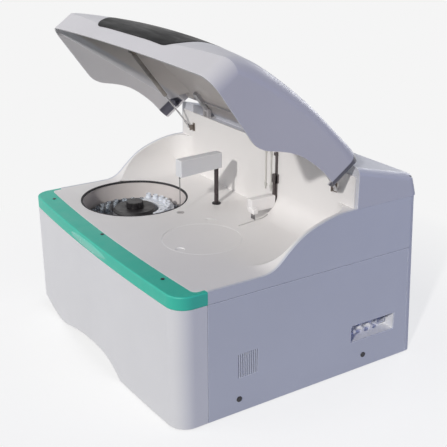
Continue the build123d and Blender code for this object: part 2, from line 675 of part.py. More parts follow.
def strut_foot(x, sign):
    """Bracket on the rear wall with the stud that meets the rod's socket."""
    wall = WALL_Y - SKIN
    y, z = STRUT_FOOT
    plate_x = x - sign * STRUT_PLATE
    plate = block(plate_x - 1.25, plate_x + 1.25, y - 6, wall, z - 8, z + 8)
    base = block(plate_x - 5, plate_x + 5, wall - 2.5, wall, z - 12, z + 12)
    near, far = sorted((x - sign * 5.3, plate_x))
    return plate + base + cross_pin(near, far, y, z, STRUT_STUD_R)


def strut_head(x, sign, inner):
    """Bracket under the lid's top with the stud for the cylinder's eye, drawn closed."""
    dy, dz = STRUT_HEAD[0] - HINGE_Y, STRUT_HEAD[1] - HINGE_Z
    c, s = cos(radians(LID_OPEN)), sin(radians(LID_OPEN))
    y, z = HINGE_Y + dy * c - dz * s, HINGE_Z + dy * s + dz * c
    plate_x = x - sign * STRUT_PLATE
    near, far = sorted((x + sign * 5, plate_x))
    plate = block(plate_x - 1.5, plate_x + 1.5, y - 10, y + 10, z - 6, z + 80)
    return cross_pin(near, far, y, z, STRUT_STUD_R) + largest(plate & inner)


# ---------------------------------------------------------------- sample disc
FLOOR_Z = DECK_Z - WELL_DEPTH
DISC_Z = 262.0             # underside of the disc tray
CUP_TOP_Z = 296.0
BOTTLE_TOP_Z = 318.0
HUB_Z = 300.0
KNOB_R, KNOB_HEIGHT = 24.0, 19.0
SHAFT_R = 10.0


def well_liner():
    """Chilled pot around the disc, hung from the deck by its flange."""
    top = DECK_Z - SKIN
    r = WELL_R - 1
    profile = [(SHAFT_R + 4, FLOOR_Z), (r, FLOOR_Z), (r, top - 3), (r + 11, top - 3), (r + 11, top),
               (r - 3, top), (r - 3, FLOOR_Z + 3), (SHAFT_R + 4, FLOOR_Z + 3)]
    return revolved(profile, WELL_X, WELL_Y)


def well_gasket():
    top = DECK_Z - SKIN
    r = WELL_R - FIT
    profile = [(r - 5, top), (r, top), (r, DECK_Z + 0.8), (r - 2, DECK_Z + 1.6), (r - 5, DECK_Z - 0.5)]
    return revolved(profile, WELL_X, WELL_Y)


def tube_sensor():
    """Dark sensor block on the well's wall, above the ring of cups."""
    body = block(WELL_R - 18, WELL_R - 4.2, -9, 9, DECK_Z - 34, DECK_Z - 10)
    body = chamfer(body.edges().filter_by(Axis.Z).sort_by(Axis.X)[:2], 2.0)
    body -= cross_pin(WELL_R - 19, WELL_R - 15, 0, DECK_Z - 24, 3.0)
    return Location((WELL_X, WELL_Y, 0), (0, 0, 27.7)) * body


def disc_tray():
    """Moulded tray: floor, channel for the cups, wall round the bottles and seat of the hub."""
    z = DISC_Z
    inner, wall = CUP_RING_R - CUP_R - 1, 1.6
    profile = [(SHAFT_R, z - 14), (22, z - 14), (24, z), (DISC_R, z), (DISC_R, z + 24), (DISC_R - wall, z + 24),
               (DISC_R - wall, z + 14), (CUP_RING_R + CUP_R + 0.2, z + 14), (CUP_RING_R + CUP_R + 0.2, z + 3),
               (inner, z + 3), (inner, z + 24), (inner - wall, z + 24), (inner - wall, z + 3),
               (62, z + 3), (62, HUB_Z), (58, HUB_Z), (58, z + 3), (SHAFT_R, z + 3)]
    return revolved(profile, WELL_X, WELL_Y)


def cup(x, y, r, z0, z1):
    """Small tube with its bore."""
    return disc(x, y, z0, z1, r) - disc(x, y, z0 + 3, z1 + 1, r - 1.4)


def sample_cups():
    solids = []
    for i in range(CUP_COUNT):
        a = 2 * pi * i / CUP_COUNT
        x, y = WELL_X + CUP_RING_R * cos(a), WELL_Y + CUP_RING_R * sin(a)
        solids.append(cup(x, y, CUP_R, DISC_Z + 3, CUP_TOP_Z - 4))
    return solids


def reagent_bottle(angle, span):
    """Wedge-shaped bottle with a round neck."""
    a0, a1 = radians(angle - span / 2), radians(angle + span / 2)
    am = radians(angle)

    def p(r, a):
        return (r * cos(a), r * sin(a), 0)
    edges = [
        ThreePointArc(p(BOTTLE_IN_R, a0), p(BOTTLE_IN_R, am), p(BOTTLE_IN_R, a1)),
        Line(p(BOTTLE_IN_R, a1), p(BOTTLE_OUT_R, a1)),
        ThreePointArc(p(BOTTLE_OUT_R, a1), p(BOTTLE_OUT_R, am), p(BOTTLE_OUT_R, a0)),
        Line(p(BOTTLE_OUT_R, a0), p(BOTTLE_IN_R, a0)),
    ]
    body = at(WELL_X, WELL_Y, DISC_Z + 3) * extrude(make_face(edges), BOTTLE_TOP_Z - DISC_Z - 15)
    r = (BOTTLE_IN_R + BOTTLE_OUT_R) / 2 + 5
    x, y = WELL_X + r * cos(am), WELL_Y + r * sin(am)
    neck = disc(x, y, BOTTLE_TOP_Z - 13, BOTTLE_TOP_Z, 7.5) - disc(x, y, BOTTLE_TOP_Z - 8, BOTTLE_TOP_Z + 1, 6.0)
    return body + neck


def reagent_bottles():
    pitch = 14.4
    return [reagent_bottle(27 + i * pitch, pitch - 1.2) for i in range(BOTTLE_COUNT)]


def inner_tubes():
    """Small calibrator tubes in the rest of the inner ring."""
    solids = []
    for i in range(12):
        a = radians(152 + i * 18)
        r = 100.0
        x, y = WELL_X + r * cos(a), WELL_Y + r * sin(a)
        solids.append(cup(x, y, 5.5, DISC_Z + 3, CUP_TOP_Z))
    return solids


def disc_hub():
    """Black cover over the middle of the disc."""
    z = HUB_Z
    profile = [(5, z), (62, z), (62, z + 3), (56, z + 9), (27, z + 9), (27, z + 7), (5, z + 7)]
    return revolved(profile, WELL_X, WELL_Y)


def disc_knob():
    """Knurled lifting knob; its stem screws into the shaft."""
    z = HUB_Z + 7
    knob = disc(WELL_X, WELL_Y, z, z + KNOB_HEIGHT, KNOB_R)
    for i in range(8):
        a = 2 * pi * i / 8
        knob -= disc(WELL_X + (KNOB_R + 3) * cos(a), WELL_Y + (KNOB_R + 3) * sin(a), z + 4, z + KNOB_HEIGHT + 1, 5.0)
    top = knob.faces().sort_by(Axis.Z)[-1].edges()
    knob = chamfer(top, 1.2)
    return knob + disc(WELL_X, WELL_Y, DISC_Z + 3, z + 1, 4.7)


def disc_shaft():
    """Spindle of the sample disc with its driven pulley."""
    return disc(WELL_X, WELL_Y, PULLEY_Z - 4, DISC_Z + 3, SHAFT_R) + pulley(WELL_X, WELL_Y, PULLEY_R, SHAFT_R - 1)


def disc_bearing():
    """Flanged bearing housing between the shelf and the well floor."""
    profile = [(SHAFT_R + SHAFT_FIT, SHELF_Z), (32, SHELF_Z), (32, SHELF_Z + 5), (18, SHELF_Z + 7), (18, FLOOR_Z),
               (SHAFT_R + SHAFT_FIT, FLOOR_Z)]
    return revolved(profile, WELL_X, WELL_Y)


# Belt drive of the sample disc, under the shelf
PULLEY_Z = 168.0
PULLEY_R, PINION_R = 36.0, 12.0
BELT_THICK, BELT_WIDTH = 2.0, 9.0
BELT_SPAN = 192.0
MOTOR_X, MOTOR_Y = WELL_X, WELL_Y + BELT_SPAN


def pulley(x, y, r, bore):
    """Flanged pulley."""
    z = PULLEY_Z
    profile = [(bore, z), (r + 3, z), (r + 3, z + 1.5), (r, z + 1.5), (r, z + 11.5), (r + 3, z + 11.5),
               (r + 3, z + 13), (bore, z + 13)]
    return revolved(profile, x, y)


def belt_loop(gap, z0, z1):
    """Outline round both pulleys, outside them by gap."""
    ra, rb = PULLEY_R + gap, PINION_R + gap
    lean = (ra - rb) / BELT_SPAN
    c = sqrt(1 - lean * lean)
    a = [(WELL_X + s * ra * c, WELL_Y + ra * lean, 0) for s in (-1, 1)]
    b = [(MOTOR_X + s * rb * c, MOTOR_Y + rb * lean, 0) for s in (-1, 1)]
    edges = [ThreePointArc(a[0], (WELL_X, WELL_Y - ra, 0), a[1]), Line(a[1], b[1]),
             ThreePointArc(b[1], (MOTOR_X, MOTOR_Y + rb, 0), b[0]), Line(b[0], a[0])]
    return extrude(at(0, 0, z0) * make_face(edges), z1 - z0)


def drive_belt():
    z0 = PULLEY_Z + 2
    return belt_loop(0.2 + BELT_THICK, z0, z0 + BELT_WIDTH) - belt_loop(0.2, z0 - 1, z0 + BELT_WIDTH + 1)


def stepper(x, y, z0, size, height, shaft_r, shaft_z0, shaft_z1):
    """Square stepper motor standing on z0, with its shaft."""
    half = size / 2
    body = block(x - half, x + half, y - half, y + half, z0, z0 + height)
    body = chamfer(body.edges().filter_by(Axis.Z), 3.0)
    return body + disc(x, y, shaft_z0, shaft_z1, shaft_r)


# ---------------------------------------------------------------- probe
def probe_sleeve():
    """Bearing sleeve through the deck, with the round flange that shows."""
    r = PROBE_SHAFT_R + SHAFT_FIT
    profile = [(r, SHELF_Z + 86), (8.7, SHELF_Z + 86), (8.7, DECK_Z), (12, DECK_Z), (12, DECK_Z + 3),
               (9, DECK_Z + 5), (r, DECK_Z + 5)]
    return revolved(profile, PROBE_X, PROBE_Y)


def probe_tower():
    """Bent-steel frame on the shelf, with the two rods that guide the carriage."""
    x, y = PROBE_X, PROBE_Y
    foot = block(x - 32, x + 32, y - 30, y + 48, SHELF_Z, SHELF_Z + 4)
    back = block(x - 32, x + 32, y + 44, y + 48, SHELF_Z, SHELF_Z + 90)
    top = block(x - 32, x + 32, y - 30, y + 48, SHELF_Z + 86, SHELF_Z + 90)
    top -= disc(x, y, SHELF_Z + 80, SHELF_Z + 95, 8.7)
    frame = foot + back + top
    for side in (-1, 1):
        frame += disc(x + side * 22, y + 22, SHELF_Z, SHELF_Z + 90, 4.0)
    return frame


CARRIAGE_Z0, CARRIAGE_Z1 = SHELF_Z + 48, SHELF_Z + 68


def lift_carriage():
    """Block that climbs the guide rods and carries the probe shaft."""
    x, y = PROBE_X, PROBE_Y
    body = block(x - 30, x + 30, y - 14, y + 32, CARRIAGE_Z0, CARRIAGE_Z1)
    for side in (-1, 1):
        body -= disc(x + side * 22, y + 22, CARRIAGE_Z0 - 1, CARRIAGE_Z1 + 1, 4.0 + SHAFT_FIT)
    return body - disc(x, y, CARRIAGE_Z0 - 1, CARRIAGE_Z1 + 1, PROBE_SHAFT_R + SHAFT_FIT)


def probe_shaft():
    """Black shaft with the collar that rests on the carriage."""
    x, y = PROBE_X, PROBE_Y
    shaft = disc(x, y, CARRIAGE_Z0, ARM_Z0 + 12, PROBE_SHAFT_R)
    return shaft + disc(x, y, CARRIAGE_Z1 + 0.1, CARRIAGE_Z1 + 4, 10.0)


ARM_BACK = 11.0            # arm behind the shaft's centre
ARM_TIP = 4.0              # arm beyond the needle


def swung(shape):
    """Turn a piece drawn straight ahead to where the probe rests."""
    return shape.rotate(Axis((PROBE_X, PROBE_Y, 0), (0, 0, 1)), PROBE_REST)


def probe_arm():
    """Moulded arm cover, thinner towards the needle, open below."""
    y0, y1 = PROBE_Y - PROBE_REACH - ARM_TIP, PROBE_Y + ARM_BACK
    half = ARM_WIDTH / 2
    edges = chain([(y0, ARM_Z0), (y1, ARM_Z0 + 4), (y1, ARM_Z1), (y0, ARM_Z1)])
    outer = side_prism(edges, PROBE_X - half, PROBE_X + half)
    soft = [e for e in outer.edges() if e.center().Z > ARM_Z0 + 8]
    outer = fillet(soft, 3.0)
    inner = block(PROBE_X - half + 2, PROBE_X + half - 2, y0 + 2, y1 - 2, ARM_Z0 - 5, ARM_Z1 - 2.5)
    boss = disc(PROBE_X, PROBE_Y, ARM_Z0 + 6, ARM_Z1 - 1, 12.0)
    tip = disc(PROBE_X, PROBE_Y - PROBE_REACH, ARM_Z0 + 2, ARM_Z1 - 1, 3.5)
    arm = outer - inner + boss + tip
    arm -= disc(PROBE_X, PROBE_Y, ARM_Z0 - 10, ARM_Z0 + 12, PROBE_SHAFT_R)
    return swung(arm - disc(PROBE_X, PROBE_Y - PROBE_REACH, ARM_Z0 - 10, ARM_Z0 + 30, 1.2))


def probe_needle():
    """Steel needle with its conical tip over the wash cup."""
    tip_z = DECK_Z + 16
    profile = [(0, tip_z), (0.5, tip_z), (1.2, tip_z + 6), (1.2, ARM_Z0 + 30), (0, ARM_Z0 + 30)]
    x, y = needle_place(PROBE_REST)
    return revolved(profile, x, y) + disc(x, y, ARM_Z0 - 6, ARM_Z0 + 2, 2.2)


def wash_cup():
    """Cup under the deck where the needle is rinsed."""
    x, y = needle_place(PROBE_REST)
    z0 = DECK_Z - PROBE_DOWN - 12
    profile = [(0, z0), (WASH_CUP_R, z0), (WASH_CUP_R, DECK_Z), (WASH_CUP_R + 2.5, DECK_Z),
               (WASH_CUP_R + 2.5, DECK_Z + 1), (WASH_CUP_R - 2, DECK_Z + 1), (WASH_CUP_R - 2, z0 + 3), (0, z0 + 3)]
    return revolved(profile, x, y)


# ---------------------------------------------------------------- reaction disc
CUVETTE_Z0, CUVETTE_Z1 = 286.0, 322.0
CUVETTE_COUNT = 24
REACT_SHAFT_R = 6.0
COVER_THICK = 2.5


def reaction_disc():
    """Incubated disc with its ring of moulded cuvettes and the hub on the motor shaft."""
    x, y = REACT_X, REACT_Y
    z = CUVETTE_Z0 + 8
    ring = tube(x, y, z, z + 6, REACT_DISC_R, REACT_DISC_R - 22) + disc(x, y, z, z + 4, REACT_DISC_R - 10)
    ring += disc(x, y, CUVETTE_Z0 - 16, CUVETTE_Z0 + 12, 16)
    ring -= disc(x, y, CUVETTE_Z0 - 20, CUVETTE_Z0 + 8, REACT_SHAFT_R + SHAFT_FIT)
    dx, dy = dispense_place()
    first = degrees(atan2(dy - y, dx - x))
    for i in range(CUVETTE_COUNT):
        place = Location((x, y, CUVETTE_Z0), (0, 0, first + 360 * i / CUVETTE_COUNT)) * at(CUVETTE_RING_R, 0)
        ring += place * extrude(Rectangle(9, 9), CUVETTE_Z1 - CUVETTE_Z0)
        ring -= place * at(0, 0, 1) * extrude(Rectangle(6.6, 6.6), CUVETTE_Z1 - CUVETTE_Z0)
    return ring


def reaction_cover():
    """Flush round cover with a finger recess."""
    cover = disc(REACT_X, REACT_Y, DECK_Z - COVER_THICK, DECK_Z, REACT_COVER_R)
    cover = chamfer(cover.faces().sort_by(Axis.Z)[-1].edges(), 0.8)
    bowl_y = REACT_Y - REACT_COVER_R + 20
    return cover - disc(REACT_X + 30, bowl_y, DECK_Z - 1.6, DECK_Z + 1, 11.0)


# ---------------------------------------------------------------- wash station
WASH_Y = WALL_Y - SKIN
RAIL_TOP_Z = 505.0
HEAD_Z0, HEAD_Z1 = 352.0, 372.0


def wash_rail():
    """Slender guide rail on the rear wall, with its two clips."""
    rail = block(WASH_X - 3, WASH_X + 3, WASH_Y - 5, WASH_Y, DECK_Z + 4, RAIL_TOP_Z)
    for z in (RAIL_TOP_Z - 6, DECK_Z + 10):
        rail += block(WASH_X - 8, WASH_X + 4, WASH_Y - 6, WASH_Y, z - 4, z + 4)
    return rail


CLAMP_Z = 421.0
HEAD_Y = 61.0              # front of the wash arm


def wash_head():
    """Clamp on the rail, stem, and the arm with its row of rinsing needles over the slot."""
    grip = 0.1
    clamp = block(WASH_X - 9, WASH_X + 9, WASH_Y - 12, WASH_Y - 0.5, CLAMP_Z, CLAMP_Z + 24)
    clamp -= block(WASH_X - 3 - grip, WASH_X + 3 + grip, WASH_Y - 5 - grip, WASH_Y, CLAMP_Z - 1, CLAMP_Z + 25)
    stem = block(WASH_X - 5, WASH_X + 1, WASH_Y - 12, WASH_Y - 6.5, HEAD_Z1 - 2, CLAMP_Z)
    arm = fillet(block(WASH_X - 19, WASH_X + 3.5, HEAD_Y, WASH_Y - 11, HEAD_Z0, HEAD_Z1).edges().filter_by(Axis.Z), 4.0)
    arm += block(WASH_X - 6, WASH_X + 18, HEAD_Y - 8, HEAD_Y + 6, HEAD_Z0, HEAD_Z0 + 12)
    for i in range(5):
        arm += disc(WASH_X - 2 + 4 * i, HEAD_Y - 2, DECK_Z + 3, HEAD_Z0 + 1, 1.0)
    return clamp + stem + arm


def wall_tubes():
    """Two rigid supply tubes held flat on the wall."""
    solids = []
    for x in (46.0, 70.0):
        pipe = rod((x, WASH_Y - 3, 392), (x, WASH_Y - 3, 508), 2.0)
        for z in (404, 496):
            pipe += block(x - 4, x + 4, WASH_Y - 5.5, WASH_Y, z - 3, z + 3)
        solids.append(pipe)
    return solids


# ---------------------------------------------------------------- chassis
POST_X, POST_FRONT, POST_REAR = WIDTH / 2 - 38.0, -DEPTH / 2 + 115.0, DEPTH / 2 - 57.0


def base_tray():
    """Folded steel tray that everything stands on; it starts behind the front panel."""
    z0, t = TRAY_Z, TRAY_SHEET
    out = SKIN + FIT
    zone = block(-WIDTH, WIDTH, PANEL_SPLIT_Y + 4, 500, 0, 100)
    tray = plan_prism(out, z0, z0 + 26) & zone
    pocket = plan_prism(out + t, z0 + t, z0 + 27) & block(-WIDTH, WIDTH, PANEL_SPLIT_Y + 4 + t, 500, 0, 100)
    return tray - pocket


def feet():
    """Rubber feet pressed into the tray."""
    solids = []
    for x in (-POST_X + 40, POST_X - 40):
        for y in (POST_FRONT + 30, POST_REAR - 20):
            foot = revolved([(0, 0), (17, 0), (20, 3), (20, TRAY_Z), (0, TRAY_Z)], x, y)
            solids.append(foot)
    return solids


def frame_posts():
    """Square tubes from the tray up to the shelf."""
    z0, z1 = TRAY_Z + TRAY_SHEET, SHELF_Z - SHELF_THICK
    solids = []
    for x in (-POST_X, POST_X):
        for y in (POST_FRONT, 20, POST_REAR):
            tube_out = block(x - 12, x + 12, y - 12, y + 12, z0, z1)
            solids.append(tube_out - block(x - 10, x + 10, y - 10, y + 10, z0 - 1, z1 + 1))
    return solids


def shelf():
    """Steel shelf with turned-up sides that reach the deck cover."""
    x, t = POST_X + 14, SHELF_THICK
    y0, y1 = POST_FRONT - 14, POST_REAR + 4
    plate = block(-x, x, y0, y1, SHELF_Z - t, SHELF_Z)
    for side in (-1, 1):
        a, b = sorted((side * x, side * (x - 2)))
        plate += block(a, b, y0 + 40, 60, SHELF_Z - t, DECK_Z - SKIN)
    plate -= disc(WELL_X, WELL_Y, SHELF_Z - t - 1, SHELF_Z + 1, SHAFT_R + 3)
    plate -= disc(MOTOR_X, MOTOR_Y, SHELF_Z - t - 1, SHELF_Z + 1, 12)
    for hx, hy in ((150, WALL_Y + 57), (-150, WALL_Y + 97), (POST_X - 72, WALL_Y - 83)):
        plate -= disc(hx, hy, SHELF_Z - t - 1, SHELF_Z + 1, 34)
    return plate


def photometer():
    """Lamp house and detector block beside the cuvette ring."""
    x0 = REACT_X + REACT_DISC_R + 6
    body = block(x0, x0 + 62, REACT_Y - 40, REACT_Y + 40, SHELF_Z, CUVETTE_Z1 - 4)
    for i in range(6):
        body -= block(x0 + 30, x0 + 63, REACT_Y - 34 + 12 * i, REACT_Y - 29 + 12 * i, SHELF_Z + 30, CUVETTE_Z1 - 3)
    return body - rod((x0 - 1, REACT_Y, CUVETTE_Z0 + 4), (x0 + 20, REACT_Y, CUVETTE_Z0 + 4), 3)


# ---------------------------------------------------------------- rear fittings
REAR_Y = DEPTH / 2
SOCKET_X, SWITCH_X = INLET_X - 10.5, INLET_X + 13.5
SWITCH_TILT = 7.0


def fan_frame():
    half = 60.0
    y1 = REAR_Y - SKIN
    frame = block(FAN_X - half, FAN_X + half, y1 - 25, y1, FAN_Z - half, FAN_Z + half)
    frame = fillet(frame.edges().filter_by(Axis.Y), 6.0)
    frame -= rod((FAN_X, y1 - 26, FAN_Z), (FAN_X, y1 + 1, FAN_Z), FAN_R + 1)
    hub = rod((FAN_X, y1 - 25, FAN_Z), (FAN_X, y1 - 21, FAN_Z), 20)
    for i in range(4):
        arm = block(0, FAN_R + 3, y1 - 25, y1 - 22, -3, 3).rotate(Axis.Y, 45 + 90 * i)
        hub += at(FAN_X, 0, FAN_Z) * arm
    pin = rod((FAN_X, y1 - 22, FAN_Z), (FAN_X, y1 - 8, FAN_Z), 2.0)
    return frame + hub + pin


def fan_rotor():
    """Hub with pitched blades."""
    y1 = REAR_Y - SKIN
    hub = rod((0, y1 - 20, 0), (0, y1 - 3, 0), 19)
    for i in range(7):
        blade = block(16, FAN_R - 1, -9, 9, -0.8, 0.8).rotate(Axis.X, 38)
        hub += at(0, y1 - 11.5, 0) * blade.rotate(Axis.Y, 360 * i / 7)
    hub -= rod((0, y1 - 21, 0), (0, y1 - 7.9, 0), 2.0 + SHAFT_FIT)
    return at(FAN_X, 0, FAN_Z) * hub


def fan_guard():
    """Wire finger guard outside the panel."""
    y = REAR_Y
    solid = rod((FAN_X, y, FAN_Z), (FAN_X, y + 2, FAN_Z), 12)
    for r in (26, 40, 54):
        outer = rod((FAN_X, y, FAN_Z), (FAN_X, y + 2, FAN_Z), r + 1)
        solid += outer - rod((FAN_X, y - 1, FAN_Z), (FAN_X, y + 3, FAN_Z), r - 1)
    for i in range(4):
        arm = block(0, 74, y, y + 2, -1, 1).rotate(Axis.Y, 45 + 90 * i)
        solid += at(FAN_X, 0, FAN_Z) * arm
    return solid


def power_inlet():
    """Appliance inlet with its three contacts, and the frame of the rocker switch beside it."""
    y1, z = REAR_Y, INLET_Z
    body = block(INLET_X - INLET_W / 2, INLET_X + INLET_W / 2, y1 - 22, y1 + 2, z - INLET_H / 2, z + INLET_H / 2)
    body -= block(SOCKET_X - 11, SOCKET_X + 11, y1 - 16, y1 + 3, z - 8, z + 8)
    for dx, dz in ((-6, -3), (6, -3), (0, 3)):
        body += block(SOCKET_X + dx - 1.2, SOCKET_X + dx + 1.2, y1 - 17, y1 - 5, z + dz - 2.5, z + dz + 2.5)
    body -= block(SWITCH_X - 7, SWITCH_X + 7, y1 - 17, y1 + 3, z - 10.5, z + 10.5)
    return body + cross_pin(SWITCH_X - 8, SWITCH_X + 8, y1 - 6, z, 1.5)


def switch_rocker():
    """Rocker with its two faces, resting in the off position."""
    x, z, y1 = SWITCH_X, INLET_Z, REAR_Y
    outline = chain([(y1 - 10, z - 6), (y1 - 10, z + 6), (y1 + 1.5, z + 8), (y1 - 0.4, z), (y1 + 1.5, z - 8)])
    rocker = side_prism(outline, x - 6.5, x + 6.5)
    rocker = rocker.rotate(Axis((0, y1 - 6, z), (1, 0, 0)), -SWITCH_TILT)
    return rocker - cross_pin(x - 8, x + 8, y1 - 6, z, 1.5 + SHAFT_FIT)


# ---------------------------------------------------------------- build
def build():
    keep("base_tray", base_tray())
    keep("feet", *feet())
    keep("frame_posts", *frame_posts())
    keep("module_shelf", shelf())
    keep("front_panel", front_panel())
    keep("left_side_panel", side_plate(-1))
    keep("right_side_panel", right_side_panel())
    keep("rear_panel", rear_panel())
    keep("side_plugs", *side_plugs())
    keep("service_recess", service_recess())
    keep("fluid_ports", *fluid_ports())
    keep("level_connector", level_connector())
    keep("trim_strip", trim_strip())
    keep("strip_grip", strip_grip())
    keep("trim_screws", *trim_screws())
    keep("deck_cover", deck_cover())
    keep("rear_cover", rear_cover())

    outer, inner = lid_solid(), lid_cavity()
    keep("lid_shell", opened(lid_shell(outer, inner)))
    keep("lid_window", opened(lid_window(outer, inner)))
    keep("hinge_arms", *[opened(hinge_arm(s * HINGE_X, inner)) for s in (-1, 1)])
    keep("hinge_brackets", *[hinge_bracket(s * HINGE_X) for s in (-1, 1)])
    for side, s in (("left", -1), ("right", 1)):
        keep("strut_cylinder_" + side, strut_cylinder(s * STRUT_X))
        keep("strut_rod_" + side, strut_rod(s * STRUT_X))
    keep("strut_feet", *[strut_foot(s * STRUT_X, s) for s in (-1, 1)])
    keep("strut_heads", *[opened(strut_head(s * STRUT_X, s, inner)) for s in (-1, 1)])

    keep("well_liner", well_liner())
    keep("well_gasket", well_gasket())
    keep("tube_sensor", tube_sensor())
    keep("disc_tray", disc_tray())
    keep("sample_cups", *sample_cups())
    keep("reagent_bottles", *reagent_bottles())
    keep("calibrator_tubes", *inner_tubes())
    keep("disc_hub", disc_hub())
    keep("disc_knob", disc_knob())
    keep("disc_shaft", disc_shaft())
    keep("disc_bearing", disc_bearing())
    stub = disc(MOTOR_X, MOTOR_Y, PULLEY_Z, SHELF_Z - 0.3, 2.5)
    keep("motor_pulley", pulley(MOTOR_X, MOTOR_Y, PINION_R, 2.4) + stub)
    keep("drive_belt", drive_belt())
    keep("disc_motor", stepper(MOTOR_X, MOTOR_Y, SHELF_Z, 42.0, 48.0, 4.0, SHELF_Z + 40, SHELF_Z + 52))

    keep("probe_sleeve", probe_sleeve())
    keep("probe_tower", probe_tower())
    keep("lift_carriage", lift_carriage())
    keep("probe_shaft", probe_shaft())
    keep("probe_arm", probe_arm())
    keep("probe_needle", probe_needle())
    keep("wash_cup", wash_cup())

    keep("reaction_disc", reaction_disc())
    keep("reaction_cover", reaction_cover())
    motor = stepper(REACT_X, REACT_Y, SHELF_Z, 57.0, 56.0, REACT_SHAFT_R, SHELF_Z + 50, CUVETTE_Z0 + 4)
    keep("reaction_motor", motor)
    keep("photometer", photometer())

    keep("wash_rail", wash_rail())
    keep("wash_head", wash_head())
    keep("wall_tubes", *wall_tubes())

    keep("fan_frame", leaned(fan_frame()))
    keep("fan_rotor", leaned(fan_rotor()))
    keep("fan_guard", leaned(fan_guard()))
    keep("power_inlet", leaned(power_inlet()))
    keep("switch_rocker", leaned(switch_rocker()))

    for name, shape in NODES.items():
        export_step(shape, f"parts/{name}.step")


build()
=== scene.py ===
import json
import math

import bmesh
import bpy
from mathutils import Matrix, Vector
from mathutils.bvhtree import BVHTree


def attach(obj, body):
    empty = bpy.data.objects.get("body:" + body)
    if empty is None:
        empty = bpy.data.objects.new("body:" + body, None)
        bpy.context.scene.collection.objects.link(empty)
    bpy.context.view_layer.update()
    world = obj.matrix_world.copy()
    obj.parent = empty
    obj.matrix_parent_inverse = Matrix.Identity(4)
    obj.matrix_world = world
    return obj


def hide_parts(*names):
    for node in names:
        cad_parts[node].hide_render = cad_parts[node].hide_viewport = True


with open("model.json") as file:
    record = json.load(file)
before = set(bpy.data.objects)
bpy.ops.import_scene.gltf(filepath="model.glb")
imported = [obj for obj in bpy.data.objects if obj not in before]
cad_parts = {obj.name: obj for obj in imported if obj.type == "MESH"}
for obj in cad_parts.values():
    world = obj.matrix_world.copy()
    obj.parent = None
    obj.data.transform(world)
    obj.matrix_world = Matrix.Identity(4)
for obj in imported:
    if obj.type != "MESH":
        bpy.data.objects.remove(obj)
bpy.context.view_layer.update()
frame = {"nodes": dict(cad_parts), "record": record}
NODES = frame["nodes"]

MM = 0.001

# Places that the part's source gives, in millimetres
HINGE_Y, HINGE_Z = 163.0, 532.0
LID_OPEN = math.radians(54.5)
DECK_Z = 330.0
ROUND_COVER = (143.5, -124.5, DECK_Z)
PROBE_AXIS = (-52.0, 41.0, DECK_Z)


# ---------------------------------------------------------------- colours, nodes and finishes
def srgb(code):
    """Linear colour from a hex code."""
    parts = [int(code[i:i + 2], 16) / 255 for i in (1, 3, 5)]
    return tuple(c / 12.92 if c <= 0.04045 else ((c + 0.055) / 1.055) ** 2.4 for c in parts) + (1.0,)


def toned(colour, share):
    """The same hue, lighter or darker by that share."""
    return tuple(min(1.0, c * share) for c in colour[:3]) + (1.0,)


def add(tree, kind, inputs=None, **settings):
    """Adds a node with its settings, and links or sets its inputs."""
    node = tree.nodes.new(kind)
    for name, value in settings.items():
        setattr(node, name, value)
    for name, value in (inputs or {}).items():
        if isinstance(value, bpy.types.NodeSocket):
            tree.links.new(value, node.inputs[name])
        else:
            node.inputs[name].default_value = value
    return node


